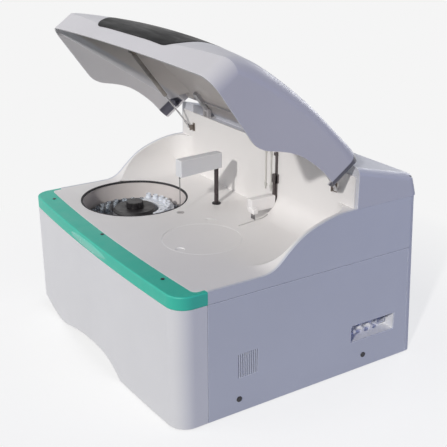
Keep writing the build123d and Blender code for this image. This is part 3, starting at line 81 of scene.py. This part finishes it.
class Finish:
    """A material in the making, with the features that the real surface has."""

    def __init__(self, name):
        self.material = bpy.data.materials.new(name)
        self.material.use_nodes = True
        self.tree = self.material.node_tree
        self.shader = self.tree.nodes["Principled BSDF"]
        self.coords = add(self.tree, "ShaderNodeTexCoord")
        self.place = self.coords.outputs["Object"]

    def set(self, **inputs):
        """Sets or links inputs of the principled node; underscores stand for spaces."""
        for name, value in inputs.items():
            socket = self.shader.inputs[name.replace("_", " ")]
            if isinstance(value, bpy.types.NodeSocket):
                self.tree.links.new(value, socket)
            else:
                socket.default_value = value

    def patches(self, size_mm, low, high, detail=3.0, place=None):
        """A value that wanders between low and high, in patches about size_mm across."""
        cloud = add(self.tree, "ShaderNodeTexNoise",
                    {"Vector": place or self.place, "Scale": 1.0 / (size_mm * MM), "Detail": detail})
        spread = add(self.tree, "ShaderNodeMapRange",
                     {"Value": cloud.outputs["Fac"], "From Min": 0.3, "From Max": 0.7,
                      "To Min": low, "To Max": high})
        return spread.outputs["Result"]

    def between(self, share, first, second):
        """The colour that far from first to second."""
        return add(self.tree, "ShaderNodeMix", {0: share, 6: first, 7: second}, data_type="RGBA").outputs[2]

    def rounded(self, radius_mm):
        """Normal that rounds the sharp edges of the mesh."""
        return add(self.tree, "ShaderNodeBevel", {"Radius": radius_mm * MM}, samples=4).outputs["Normal"]

    def texture(self, size_mm, depth_mm, edge_mm):
        """Normal of a fine surface texture on slightly rounded edges."""
        grain = add(self.tree, "ShaderNodeTexNoise",
                    {"Vector": self.place, "Scale": 1.0 / (size_mm * MM), "Detail": 2.0})
        relief = add(self.tree, "ShaderNodeBump",
                     {"Height": grain.outputs["Fac"], "Distance": depth_mm * MM, "Strength": 0.6,
                      "Normal": self.rounded(edge_mm)})
        return relief.outputs["Normal"]

    def edge_highlight_mask(self, radius_mm):
        """1 along the mesh's sharp edges, 0 on its faces; it places the painted edge highlight."""
        flat = add(self.tree, "ShaderNodeNewGeometry").outputs["Normal"]
        turn = add(self.tree, "ShaderNodeVectorMath", {0: flat, 1: self.rounded(radius_mm)},
                   operation="DOT_PRODUCT")
        edge = add(self.tree, "ShaderNodeMapRange",
                   {"Value": turn.outputs["Value"], "From Min": 0.995, "From Max": 0.93, "To Max": 1.0})
        return edge.outputs["Result"]

    def along(self, vector, direction, low, high):
        """0 to 1 as the vector's share along a direction goes from low to high."""
        share = add(self.tree, "ShaderNodeVectorMath", {0: vector, 1: direction}, operation="DOT_PRODUCT")
        ramp = add(self.tree, "ShaderNodeMapRange",
                   {"Value": share.outputs["Value"], "From Min": low, "From Max": high})
        return ramp.outputs["Result"]

    def mirrored(self):
        """The place with every coordinate made positive, so that both sides are alike."""
        return add(self.tree, "ShaderNodeVectorMath", {0: self.place}, operation="ABSOLUTE").outputs["Vector"]

    def joined(self, first, second, operation):
        """Two shares joined into one by an operation."""
        return add(self.tree, "ShaderNodeMath", {0: first, 1: second}, operation=operation).outputs[0]


# ---------------------------------------------------------------- materials
def cloudy(f, colour):
    """The colour of a large moulding, a shade lighter and darker in broad patches."""
    return f.between(f.patches(260, 0.0, 1.0), toned(colour, 0.97), toned(colour, 1.015))


def satin_moulding(name, colour, rough=0.42, highlight_share=1.4):
    """ABS or a like plastic, injection-moulded in a spark-eroded tool, or a powder coat: even, dull satin,
    with a painted highlight along its edges. The grain is about 0.3 mm and is drawn at 1.1 mm so that it
    shows."""
    f = Finish(name)
    # The sharp edges are painted lighter: a painted highlight where light would catch them
    f.set(Base_Color=f.between(f.edge_highlight_mask(2.2), cloudy(f, colour), toned(colour, highlight_share)),
          Roughness=f.patches(42, rough - 0.05, rough + 0.06), IOR=1.54, Normal=f.texture(1.1, 0.05, 0.9))
    return f


def deck_abs():
    """The deck's moulding: as the body's, with the side panels' painted bluish shade on its outer flanks."""
    f = satin_moulding("abs_moulded_deck", LIT_DECK_WHITE)
    inside = f.shader.inputs["Base Color"].links[0].from_socket
    # The outer flanks take the side panels' painted shade
    flank = f.along(f.mirrored(), (1, 0, 0), 400 * MM, 407 * MM)
    f.set(Base_Color=f.between(flank, inside, cloudy(f, SHADED_SIDE_WHITE)))
    return f


def lid_abs():
    """The lid's moulding: as the body's, but with painted shade inside, a warm grey that darkens to the
    front, and with painted shade on its rear corners."""
    f = satin_moulding("abs_moulded_lid", SHADED_LID_WHITE)
    outside = f.shader.inputs["Base Color"].links[0].from_socket
    # Axes and origin of the closed lid, as its mesh stands open
    c, s = math.cos(LID_OPEN), math.sin(LID_OPEN)
    backward, upward = (0.0, c, -s), (0.0, s, c)
    y0 = HINGE_Y - c * HINGE_Y + s * HINGE_Z
    z0 = HINGE_Z - s * HINGE_Y - c * HINGE_Z
    # The painted shade inside lies on faces that look down, above the crease that runs up from the lid's
    # front edge
    crease_y, crease_z, crease_rise, blur = -340.0, 342.0, 0.383, 4.0
    facing_down = f.along(f.coords.outputs["Normal"], tuple(-v for v in upward), 0.18, 0.40)
    over_crease = tuple(u - crease_rise * b for u, b in zip(upward, backward))
    crease = crease_z - z0 + crease_rise * (y0 - crease_y)
    above = f.along(f.place, over_crease, (crease - blur) * MM, (crease + blur) * MM)
    # Painted shade inside: warm grey, darkest at the front and paler to the rear
    dark_y, pale_y = -300.0, -60.0
    to_rear = f.along(f.place, backward, (dark_y - y0) * MM, (pale_y - y0) * MM)
    painted_inside_shade = f.between(to_rear, srgb("#938D87"), srgb("#E4DDD8"))
    with_inside_shade = f.between(f.joined(facing_down, above, "MULTIPLY"), outside, painted_inside_shade)
    # Painted shade on the rounded rear corners, a dark blue-grey
    corner_x, corner_y = 380.0, 108.0
    at_side = f.along(f.mirrored(), (1, 0, 0), corner_x * MM, (corner_x + 6) * MM)
    at_rear = f.along(f.place, backward, (corner_y - y0) * MM, (corner_y + 3 - y0) * MM)
    f.set(Base_Color=f.between(f.joined(at_side, at_rear, "MULTIPLY"), with_inside_shade, srgb("#50505C")))
    return f


def satin_metal(name, colour, rough, stretch):
    """Drawn, plated, cast or milled metal: a broad soft shine, uneven along the way that the tool went."""
    f = Finish(name)
    lines = add(f.tree, "ShaderNodeMapping", {"Vector": f.place, "Scale": stretch}).outputs["Vector"]
    f.set(Base_Color=f.between(f.patches(30, 0.0, 0.3, place=lines), colour, toned(colour, 0.7)),
          Roughness=f.patches(30, rough - 0.06, rough + 0.08, place=lines), Metallic=1.0,
          Normal=f.rounded(0.3))
    return f


def smooth_coat(name, colour, rough=0.40):
    """Moulded nylon or dark ABS, turned acetal, paint or anodising: nearly even, with a soft shine
    and faint finger smears."""
    f = Finish(name)
    f.set(Base_Color=f.between(f.patches(14, 0.0, 0.4), colour, toned(colour, 1.7)),
          Roughness=f.patches(18, rough - 0.08, rough + 0.1), IOR=1.53, Normal=f.texture(0.9, 0.03, 0.5))
    return f


def cured_rubber(name, colour):
    """Moulded rubber: matt, with a bloom that greys it in patches."""
    f = Finish(name)
    f.set(Base_Color=f.between(f.patches(9, 0.0, 0.5), colour, toned(colour, 2.6)),
          Roughness=f.patches(7, 0.62, 0.82), IOR=1.52, Normal=f.texture(2.0, 0.05, 0.4))
    return f


def tube_plastic(name, tint, clear, rough):
    """Moulded polystyrene or extruded PTFE: thin walls that let part of the light through and shine
    along their edges."""
    f = Finish(name)
    f.set(Base_Color=f.between(f.patches(9, 0.0, 1.0), tint, toned(tint, 0.9)), Transmission_Weight=clear,
          Roughness=f.patches(6, rough, rough + 0.14), IOR=1.59, Normal=f.rounded(0.3))
    return f


def smoked_acrylic(name):
    """Smoked acrylic sheet, cast: nearly black, with a smooth face that cleaning has dulled in streaks."""
    f = Finish(name)
    wiped = add(f.tree, "ShaderNodeMapping",
                {"Vector": f.place, "Rotation": (0, 0, 0.5), "Scale": (0.35, 2.2, 2.2)}).outputs["Vector"]
    f.set(Base_Color=f.between(f.patches(26, 0.0, 1.0, 5.0, wiped), srgb("#121213"), srgb("#242426")),
          Roughness=f.patches(34, 0.34, 0.55, 4.0, wiped), IOR=1.49, Specular_IOR_Level=0.08,
          Normal=f.rounded(0.6))
    return f


BODY_WHITE = srgb("#E1E2E6")
# Side and rear panels and the deck's outer flanks: the body's white painted darker and bluer as shade
SHADED_SIDE_WHITE = srgb("#CDD1DB")
# Deck and round cover: the body's white painted lighter, as painted light
LIT_DECK_WHITE = srgb("#EDEBEA")
# Lid and rear cover: the body's white painted darker and bluer, as painted shade
SHADED_LID_WHITE = srgb("#D3D2D6")
SHADED_HOUSING_WHITE = srgb("#CDCFD7")
MATERIALS = {
    "abs_white": satin_moulding("abs_moulded_white", BODY_WHITE),
    "abs_white_lid": lid_abs(),
    "abs_green": satin_moulding("abs_moulded_green", srgb("#37BFA8"), rough=0.46, highlight_share=1.25),
    "abs_green_light": satin_moulding("abs_moulded_light_green", srgb("#66CEBA"), rough=0.24, highlight_share=1.2),
    "smoked_pane": smoked_acrylic("acrylic_smoked"),
    "black_plastic": smooth_coat("nylon_black", srgb("#1D1B1D")),
    "grey_plastic": smooth_coat("abs_grey", srgb("#77777A")),
    "dark_liner": smooth_coat("abs_anthracite", srgb("#2A292B"), 0.45),
    "clear_tube": tube_plastic("polystyrene_clear", srgb("#E4ECF4"), clear=0.7, rough=0.18),
    "bottle_white": satin_moulding("polyethylene_natural", srgb("#DDE2EA"), rough=0.3),
    "steel": satin_metal("steel_drawn", srgb("#8E8D8F"), 0.3, (1, 1, 0.03)),
    "sheet_steel": satin_metal("steel_zinc_plated", srgb("#9A9B9C"), 0.42, (1, 12, 1)),
    "chrome": satin_metal("steel_chromed", srgb("#D0D0D2"), 0.14, (1, 1, 1)),
    "rubber": cured_rubber("rubber_moulded_black", srgb("#242326")),
    "tubing": tube_plastic("ptfe_extruded", srgb("#E6E5E0"), clear=0.25, rough=0.3),
    "aluminium": satin_metal("aluminium_milled", srgb("#B4B6B8"), 0.33, (30, 1, 1)),
}
# Finishes of single pieces, where the photograph shows another than their slot's
OTHER_FINISHES = {
    "deck_cover": deck_abs(),
    "reaction_cover": satin_moulding("abs_moulded_round_cover", LIT_DECK_WHITE),
    "well_liner": satin_moulding("abs_moulded_pot", srgb("#D9D3D1")),
    "left_side_panel": satin_moulding("abs_moulded_left_panel", SHADED_SIDE_WHITE),
    "right_side_panel": satin_moulding("abs_moulded_right_panel", SHADED_SIDE_WHITE),
    "rear_panel": satin_moulding("abs_moulded_rear_panel", SHADED_SIDE_WHITE),
    "service_recess": satin_moulding("abs_moulded_recess", srgb("#E9EAEE")),
    "wash_cup": satin_moulding("polypropylene_moulded_cup", srgb("#B4B1B1")),
    "rear_cover": satin_moulding("abs_moulded_rear_cover", SHADED_HOUSING_WHITE),
    "side_plugs": smooth_coat("abs_black_plug", srgb("#232226")),
    "strut_cylinder_left": smooth_coat("steel_painted_grey_brown", srgb("#8A8580"), 0.34),
    "strut_cylinder_right": smooth_coat("steel_painted_grey_brown_right", srgb("#8A8580"), 0.34),
    "strut_feet": satin_metal("zinc_die_cast_bronze", srgb("#8A827C"), 0.4, (1, 1, 1)),
    "strut_heads": satin_metal("zinc_die_cast_bronze_head", srgb("#8A827C"), 0.4, (1, 1, 1)),
    "hinge_arms": satin_moulding("steel_powder_coated_white", srgb("#C9C8CA"), rough=0.5),
    "hinge_brackets": satin_moulding("steel_powder_coated_grey", srgb("#B5B3B5"), rough=0.5),
    "probe_shaft": smooth_coat("acetal_turned_dark", srgb("#352C2E"), 0.3),
    "wash_rail": smooth_coat("aluminium_anodised_brown", srgb("#4A4343"), 0.4),
    "wash_head": satin_moulding("acetal_milled_white", srgb("#E8E6E6"), rough=0.36),
    "fluid_ports": satin_moulding("polypropylene_moulded_white", srgb("#E9EAEE"), rough=0.34),
    "level_connector": smooth_coat("nylon_moulded_pale", srgb("#B9BCC6"), 0.4),
}

for entry in frame["record"]["subparts"]:
    node, finish = NODES[entry["node"]], MATERIALS[entry["material_slot"]]
    node.data.materials.clear()
    node.data.materials.append(OTHER_FINISHES.get(entry["node"], finish).material)


# ---------------------------------------------------------------- pieces
def opened(x, y, z):
    """Point of the closed lid, in millimetres, where it stands with the lid open, in metres."""
    dy, dz = y - HINGE_Y, z - HINGE_Z
    c, s = math.cos(LID_OPEN), math.sin(LID_OPEN)
    return Vector((x, HINGE_Y + dy * c + dz * s, HINGE_Z - dy * s + dz * c)) * MM


def new_object(name, mesh_tools, body, slot, finish=None):
    """Turns finished mesh tools into a smooth-shaded piece that rides on a body."""
    mesh = bpy.data.meshes.new(name)
    mesh_tools.to_mesh(mesh)
    mesh_tools.free()
    for face in mesh.polygons:
        face.use_smooth = True
    piece = bpy.data.objects.new(name, mesh)
    bpy.context.scene.collection.objects.link(piece)
    piece.data.materials.append((finish or MATERIALS[slot]).material)
    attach(piece, body)
    return piece


def skin_of(*names):
    """Search tree over the meshes of some nodes, in the rest pose."""
    corners, faces = [], []
    for name in names:
        mesh = NODES[name].data
        start = len(corners)
        corners += [v.co.copy() for v in mesh.vertices]
        faces += [[start + i for i in p.vertices] for p in mesh.polygons]
    return BVHTree.FromPolygons(corners, faces)


def rounded_outline(points, radius, pitch=8.0, steps=6):
    """Closed outline through the points, its corners rounded and its runs divided."""
    out = []
    n = len(points)
    for i in range(n):
        p, a, b = Vector(points[i]), Vector(points[i - 1]), Vector(points[(i + 1) % n])
        r = min(radius, (a - p).length / 2, (b - p).length / 2)
        first, last = p + (a - p).normalized() * r, p + (b - p).normalized() * r
        for k in range(steps + 1):
            t = k / steps
            out.append((1 - t) ** 2 * first + 2 * t * (1 - t) * p + t * t * last)
        next_first = b + (p - b).normalized() * min(radius, (b - p).length / 2)
        run = next_first - last
        parts = int(run.length / pitch)
        out += [last + run * k / parts for k in range(1, parts)]
    return out


def window_pane():
    """Smoked pane of the lid: lies on the crowned skin round its opening, with a rolled edge."""
    skin = skin_of("lid_shell", "lid_window")
    # The slope of the closed lid's front, from its lower to its upper edge: y and z
    low, high = Vector((-312.0, 371.0)), Vector((-62.0, 538.0))
    up = (high - low).normalized()
    # Seen square to that slope: x, and the distance up the slope
    top = (high - low).length + 6
    corners = [(-170, 3), (188, 3), (226, 24), (242, 86), (224, top), (-202, top), (-212, 60)]
    outline = rounded_outline(corners, radius=22)
    middle = sum(outline, Vector((0, 0))) / len(outline)
    # Share of the outline, and how far the ring stands proud of the skin
    proud, inner_rings = 0.35, 24
    rings = [(1.0, -0.8), (1.0, 0.15), (0.994, proud)]
    rings += [(1 - k / inner_rings, proud) for k in range(1, inner_rings)]
    height, miss = 60.0, 1.0
    tools = bmesh.new()
    loops = []
    outward = Vector((0.0, -up.y, up.x))
    aim = (opened(0, 0, 0) - opened(0, outward.y, outward.z)).normalized()

    def over(x, w):
        """Place over the slope from which the skin is sought."""
        y, z = low + up * w
        return opened(x, y + outward.y * height, z + outward.z * height)

    for share, proud_here in rings:
        loop = []
        for point in outline:
            x, w = middle + (point - middle) * share
            # The gap round the opening is missed by trying on both sides of it
            hits = [skin.ray_cast(over(x + dx, w + dw), aim)[3] or miss
                    for dx, dw in ((0, 0), (1.5, 0), (-1.5, 0), (0, 1.5), (0, -1.5))]
            loop.append(tools.verts.new(over(x, w) + aim * (min(hits) - proud_here * MM)))
        loops.append(loop)
    count = len(outline)
    for first, second in zip(loops, loops[1:]):
        for i in range(count):
            tools.faces.new((first[i], first[(i + 1) % count], second[(i + 1) % count], second[i]))
    tools.faces.new(loops[-1])
    bmesh.ops.recalc_face_normals(tools, faces=tools.faces)
    pane = new_object("window_pane", tools, "lid", "smoked_pane")
    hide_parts("lid_window")


def rear_cover_edges():
    """Rounded side edges of the rear cover, laid on it where its solid is open along the rounding."""
    columns_count, rows = 6, 12
    for side in (-1, 1):
        tools = bmesh.new()
        columns = []
        for i in range(columns_count):
            share = i / (columns_count - 1)
            # Each end is an arc about its own centre; the angles are from the upright
            a, b = math.radians(23.4 + 41.0 * share), math.radians(19.3 + 33.5 * share)
            front = Vector((392.4 + 17.6 * math.sin(a), 143.4, 524.8 + 18.2 * math.cos(a)))
            rear = Vector((392.6 + 18.7 * math.sin(b), 303.6 + 5.3 * math.cos(b), 480.3 + 21.1 * math.cos(b)))
            line = [front.lerp(rear, k / rows) for k in range(rows + 1)]
            columns.append([tools.verts.new(Vector((side * q.x, q.y, q.z)) * MM) for q in line])
        for first, second in zip(columns, columns[1:]):
            for k in range(rows):
                tools.faces.new((first[k], second[k], second[k + 1], first[k + 1]))
        bmesh.ops.recalc_face_normals(tools, faces=tools.faces)
        if tools.faces[:][0].normal.z < 0:
            bmesh.ops.reverse_faces(tools, faces=tools.faces)
        new_object("rear_cover_edge_" + ("left" if side < 0 else "right"), tools, "chassis", "abs_white",
                   OTHER_FINISHES["rear_cover"])


def bead(name, line, width, height, body, slot, finish, closed=False):
    """Half-round bead along a line on a level face; points in millimetres, at the face."""
    sunk, end_size, steps = 0.02, 0.35, 6
    upward = Vector((0, 0, 1))
    tools = bmesh.new()
    count = len(line)
    rings = []
    for i, point in enumerate(line):
        ahead = line[(i + 1) % count] if closed or i + 1 < count else point
        behind = line[i - 1] if closed or i else point
        across = (Vector(ahead) - Vector(behind)).cross(upward).normalized()
        taper = 1.0 if closed or 0 < i < count - 1 else end_size
        ring = []
        for k in range(steps + 1):
            a = math.pi * k / steps
            out, rise = math.cos(a) * width / 2 * taper, math.sin(a) * height * taper
            ring.append(tools.verts.new((Vector(point) + across * out + upward * (rise - sunk)) * MM))
        rings.append(ring)
    for first, second in zip(rings, rings[1:] + (rings[:1] if closed else [])):
        for k in range(steps):
            tools.faces.new((first[k], first[k + 1], second[k + 1], second[k]))
        tools.faces.new((first[steps], first[0], second[0], second[steps]))
    if not closed:
        tools.faces.new(rings[0])
        tools.faces.new(rings[-1])
    bmesh.ops.recalc_face_normals(tools, faces=tools.faces)
    return new_object(name, tools, body, slot, finish)


def arc_points(centre, radius, start, end, count):
    """Points on a level arc round a centre, its angles in degrees; the last is left out of a full circle."""
    x, y, z = centre
    steps = count if end - start == 360 else count - 1
    angles = [math.radians(start + (end - start) * i / steps) for i in range(count)]
    return [(x + radius * math.cos(a), y + radius * math.sin(a), z) for a in angles]


def deck_details():
    """Moulded beads on the deck, and a dark strip over the slot of the wash station that stands in for the
    shade inside it.
    """
    bead("round_cover_bead", arc_points(ROUND_COVER, 97.6, 0, 360, 96), 2.6, 0.9,
         "reaction_cover", "abs_white", OTHER_FINISHES["reaction_cover"], closed=True)
    # Under the way of the needle's tip to the dispensing slot
    bead("needle_path_bead", arc_points(PROBE_AXIS, 126.0, -84, -47, 24), 2.4, 0.9,
         "chassis", "abs_white", OTHER_FINISHES["deck_cover"])
    # A dark rubber strip over the slot, standing in for the shade in the groove
    slot_front, slot_rear, parts = Vector((120.6, 1.0, DECK_Z)), Vector((105.2, 96.0, DECK_Z)), 8
    bead("slot_shade_strip", [slot_front.lerp(slot_rear, k / parts) for k in range(parts + 1)], 6.4, 0.5,
         "chassis", "rubber", MATERIALS["rubber"])


def add_block(tools, low, high, radius):
    """Adds a block between two corners, in millimetres, with its edges rounded."""
    low, high = Vector(low), Vector(high)
    place = Matrix.Translation((low + high) / 2 * MM) @ Matrix.Diagonal((*((high - low) * MM), 1.0))
    made = bmesh.ops.create_cube(tools, size=1.0, matrix=place)
    edges = {e for v in made["verts"] for e in v.link_edges}
    bmesh.ops.bevel(tools, geom=list(edges), offset=radius * MM, segments=3, affect="EDGES", profile=0.5)


def add_pin(tools, x, y, low, high, radius):
    """Adds an upright round pin, in millimetres."""
    place = Matrix.Translation(Vector((x, y, (low + high) / 2)) * MM)
    bmesh.ops.create_cone(tools, cap_ends=True, segments=20, radius1=radius * MM, radius2=radius * MM,
                          depth=(high - low) * MM, matrix=place)


def wash_station():
    """Lifting head of the wash station: milky guard on the arm, its needles, the dark clamp on the rail."""
    # Guard over the arm, and the block that carries the needles
    tools = bmesh.new()
    add_block(tools, (78, 54, 354), (101, 131, 389), 3.0)
    add_block(tools, (88, 52.5, 352), (112, 68, 366), 2.0)
    guard = new_object("wash_guard", tools, "wash_head", "bottle_white", OTHER_FINISHES["wash_head"])
    # Stem, and the clamp's two jaws and bridge at the rail
    tools = bmesh.new()
    add_block(tools, (89, 127.5, 386), (95, 133.5, 424), 1.0)
    add_block(tools, (85.5, 128, 421), (90.8, 139.4, 445), 1.0)
    add_block(tools, (97.2, 128, 421), (102.5, 139.4, 445), 1.0)
    add_block(tools, (85.5, 128, 421), (102.5, 134.2, 445), 1.0)
    clamp = new_object("wash_clamp", tools, "wash_head", "black_plastic", OTHER_FINISHES["wash_rail"])
    first_x, pitch, needles_y, tips_z, roots_z = 92, 4, 59, 333, 356
    tools = bmesh.new()
    for i in range(5):
        add_pin(tools, first_x + pitch * i, needles_y, tips_z, roots_z, 1.0)
    needles = new_object("wash_needles", tools, "wash_head", "steel", MATERIALS["steel"])
    for piece in (guard, clamp, needles):
        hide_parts("wash_head")


def finger_grip():
    """Raised lens on the middle of the green strip, moulded in a lighter green and smooth to the touch."""
    skin = skin_of("trim_strip")
    tools = bmesh.new()
    middle_x, middle_z, half_length, half_height = -12.0, 318.0, 104.0, 11.0
    crown, sunk_rim, ring_count, around = 1.75, 0.1, 14, 72
    ahead_y = -500
    rings = []
    for k in range(1, ring_count + 1):
        r = k / ring_count
        ring = []
        for i in range(around):
            a = 2 * math.pi * i / around
            x, z = middle_x + half_length * r * math.cos(a), middle_z + half_height * r * math.sin(a)
            spot = skin.ray_cast(Vector((x, ahead_y, z)) * MM, Vector((0, 1, 0)))[0]
            proud = crown * math.sqrt(1 - r ** 2.4) - (sunk_rim if k == ring_count else 0.0)
            ring.append(tools.verts.new(spot + Vector((0, -proud * MM, 0))))
        rings.append(ring)
    for first, second in zip(rings, rings[1:]):
        for i in range(around):
            j = (i + 1) % around
            tools.faces.new((first[i], first[j], second[j], second[i]))
    tools.faces.new(rings[0])
    bmesh.ops.recalc_face_normals(tools, faces=tools.faces)
    grip = new_object("finger_grip", tools, "chassis", "abs_green_light")
    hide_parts("strip_grip")


window_pane()
rear_cover_edges()
deck_details()
wash_station()
finger_grip()


# ---------------------------------------------------------------- stage, light and camera
BACKGROUND = srgb("#F5F5F5")
# Grey of the floor under the lamps, and how much background it shows by itself
FLOOR_ALBEDO, FLOOR_LIFT = 0.27, 0.80
# Distances from the middle between which the floor fades into the background, in metres
FADE_START, FADE_END = 0.62, 1.25
SKY, SKY_COLOUR = 0.14, srgb("#BCCBF2")
PHOTO_PIXELS, FOCAL_PIXELS, SENSOR_MM = 447, 847.73, 36.0
CAMERA_PLACE = (1.8131, -1.1312, 1.1397)
CAMERA_AZIMUTH, CAMERA_ELEVATION = math.radians(57.342), math.radians(21.396)


def seen_directly(tree):
    """1 for rays from the camera, a mirror-like surface or clear plastic, which see the plain background."""
    path = add(tree, "ShaderNodeLightPath").outputs
    seen = path["Is Camera Ray"]
    for other in ("Is Glossy Ray", "Is Transmission Ray"):
        seen = add(tree, "ShaderNodeMath", {0: seen, 1: path[other]}, operation="MAXIMUM").outputs[0]
    return seen


def stage_floor():
    """Pale floor that keeps the shadow round the analyzer and runs out into the even background."""
    half = 30.0
    mesh = bpy.data.meshes.new("floor")
    corners = [(-half, -half, 0), (half, -half, 0), (half, half, 0), (-half, half, 0)]
    mesh.from_pydata(corners, [], [(0, 1, 2, 3)])
    floor = bpy.data.objects.new("floor", mesh)
    bpy.context.scene.collection.objects.link(floor)
    f = Finish("floor_pale")
    seen = seen_directly(f.tree)
    low, high = (toned((1, 1, 1), FLOOR_ALBEDO + change) for change in (-0.01, 0.01))
    f.set(Base_Color=f.between(f.patches(900, 0.0, 1.0), low, high), Roughness=0.9, Specular_IOR_Level=0.0,
          Emission_Color=BACKGROUND, Emission_Strength=f.joined(seen, FLOOR_LIFT, "MULTIPLY"))
    away = add(f.tree, "ShaderNodeVectorMath", {0: f.place}, operation="LENGTH").outputs["Value"]
    fade = add(f.tree, "ShaderNodeMapRange", {"Value": away, "From Min": FADE_START, "From Max": FADE_END})
    far = f.joined(seen, fade.outputs["Result"], "MULTIPLY")
    plain = add(f.tree, "ShaderNodeEmission", {"Color": BACKGROUND, "Strength": 1.0}).outputs[0]
    mixed = add(f.tree, "ShaderNodeMixShader", {0: far, 1: f.shader.outputs[0], 2: plain}).outputs[0]
    f.tree.links.new(mixed, f.tree.nodes["Material Output"].inputs["Surface"])
    floor.data.materials.append(f.material)
    floor.location.z = -0.0002


def world_light():
    """Weak bluish surroundings; the camera sees the plain background instead."""
    world = bpy.data.worlds.new("studio")
    world.use_nodes = True
    tree = world.node_tree
    sky = add(tree, "ShaderNodeBackground", {"Color": SKY_COLOUR, "Strength": SKY})
    plain = add(tree, "ShaderNodeBackground", {"Color": BACKGROUND, "Strength": 1.0})
    mixed = add(tree, "ShaderNodeMixShader",
                {0: seen_directly(tree), 1: sky.outputs[0], 2: plain.outputs[0]})
    tree.links.new(mixed.outputs[0], tree.nodes["World Output"].inputs["Surface"])
    bpy.context.scene.world = world


def lamp(name, kind, place, target, strength, size, colour="#FFFFFF"):
    """Sun or square softbox at a place, aimed at a target; a sun's size is its angle in degrees."""
    light = bpy.data.lights.new(name, kind)
    if kind == "SUN":
        light.angle = math.radians(size)
    else:
        light.size = size
    light.energy = strength
    light.color = srgb(colour)[:3]
    obj = bpy.data.objects.new(name, light)
    obj.location = place
    obj.rotation_euler = (Vector(target) - Vector(place)).to_track_quat("-Z", "Y").to_euler()
    bpy.context.scene.collection.objects.link(obj)


def camera():
    """The photograph's viewpoint and focal length."""
    sin_a, cos_a = math.sin(CAMERA_AZIMUTH), math.cos(CAMERA_AZIMUTH)
    sin_e, cos_e = math.sin(CAMERA_ELEVATION), math.cos(CAMERA_ELEVATION)
    right = Vector((cos_a, sin_a, 0))
    back = Vector((sin_a * cos_e, -cos_a * cos_e, sin_e))
    up = back.cross(right)
    data = bpy.data.cameras.new("camera")
    data.sensor_width = SENSOR_MM
    data.lens = FOCAL_PIXELS / PHOTO_PIXELS * SENSOR_MM
    obj = bpy.data.objects.new("camera", data)
    turn = Matrix([[right[i], up[i], back[i]] for i in range(3)]).to_4x4()
    obj.matrix_world = Matrix.Translation(CAMERA_PLACE) @ turn
    bpy.context.scene.collection.objects.link(obj)
    bpy.context.scene.camera = obj


stage_floor()
world_light()
lamp("key", "SUN", (1.45, -2.2, 1.38), (0, 0, 0), 2.0, 2.5, "#FFFCF8")
lamp("front_softbox", "AREA", (-2.2, -4.2, 2.2), (0, 0, 0.3), 26, 2.6, "#FFF8F0")
lamp("high_softbox", "AREA", (-0.8, -3.2, 4.0), (0, 0, 0.3), 44, 2.0)
lamp("side_softbox", "AREA", (3.4, 1.9, 1.2), (0.3, 0.1, 0.25), 15, 1.6, "#4E74FF")
lamp("rear_softbox", "AREA", (-1.2, 4.2, 1.5), (0, 0.3, 0.3), 60, 2.4)
camera()
bpy.context.scene.view_settings.view_transform = "Standard"
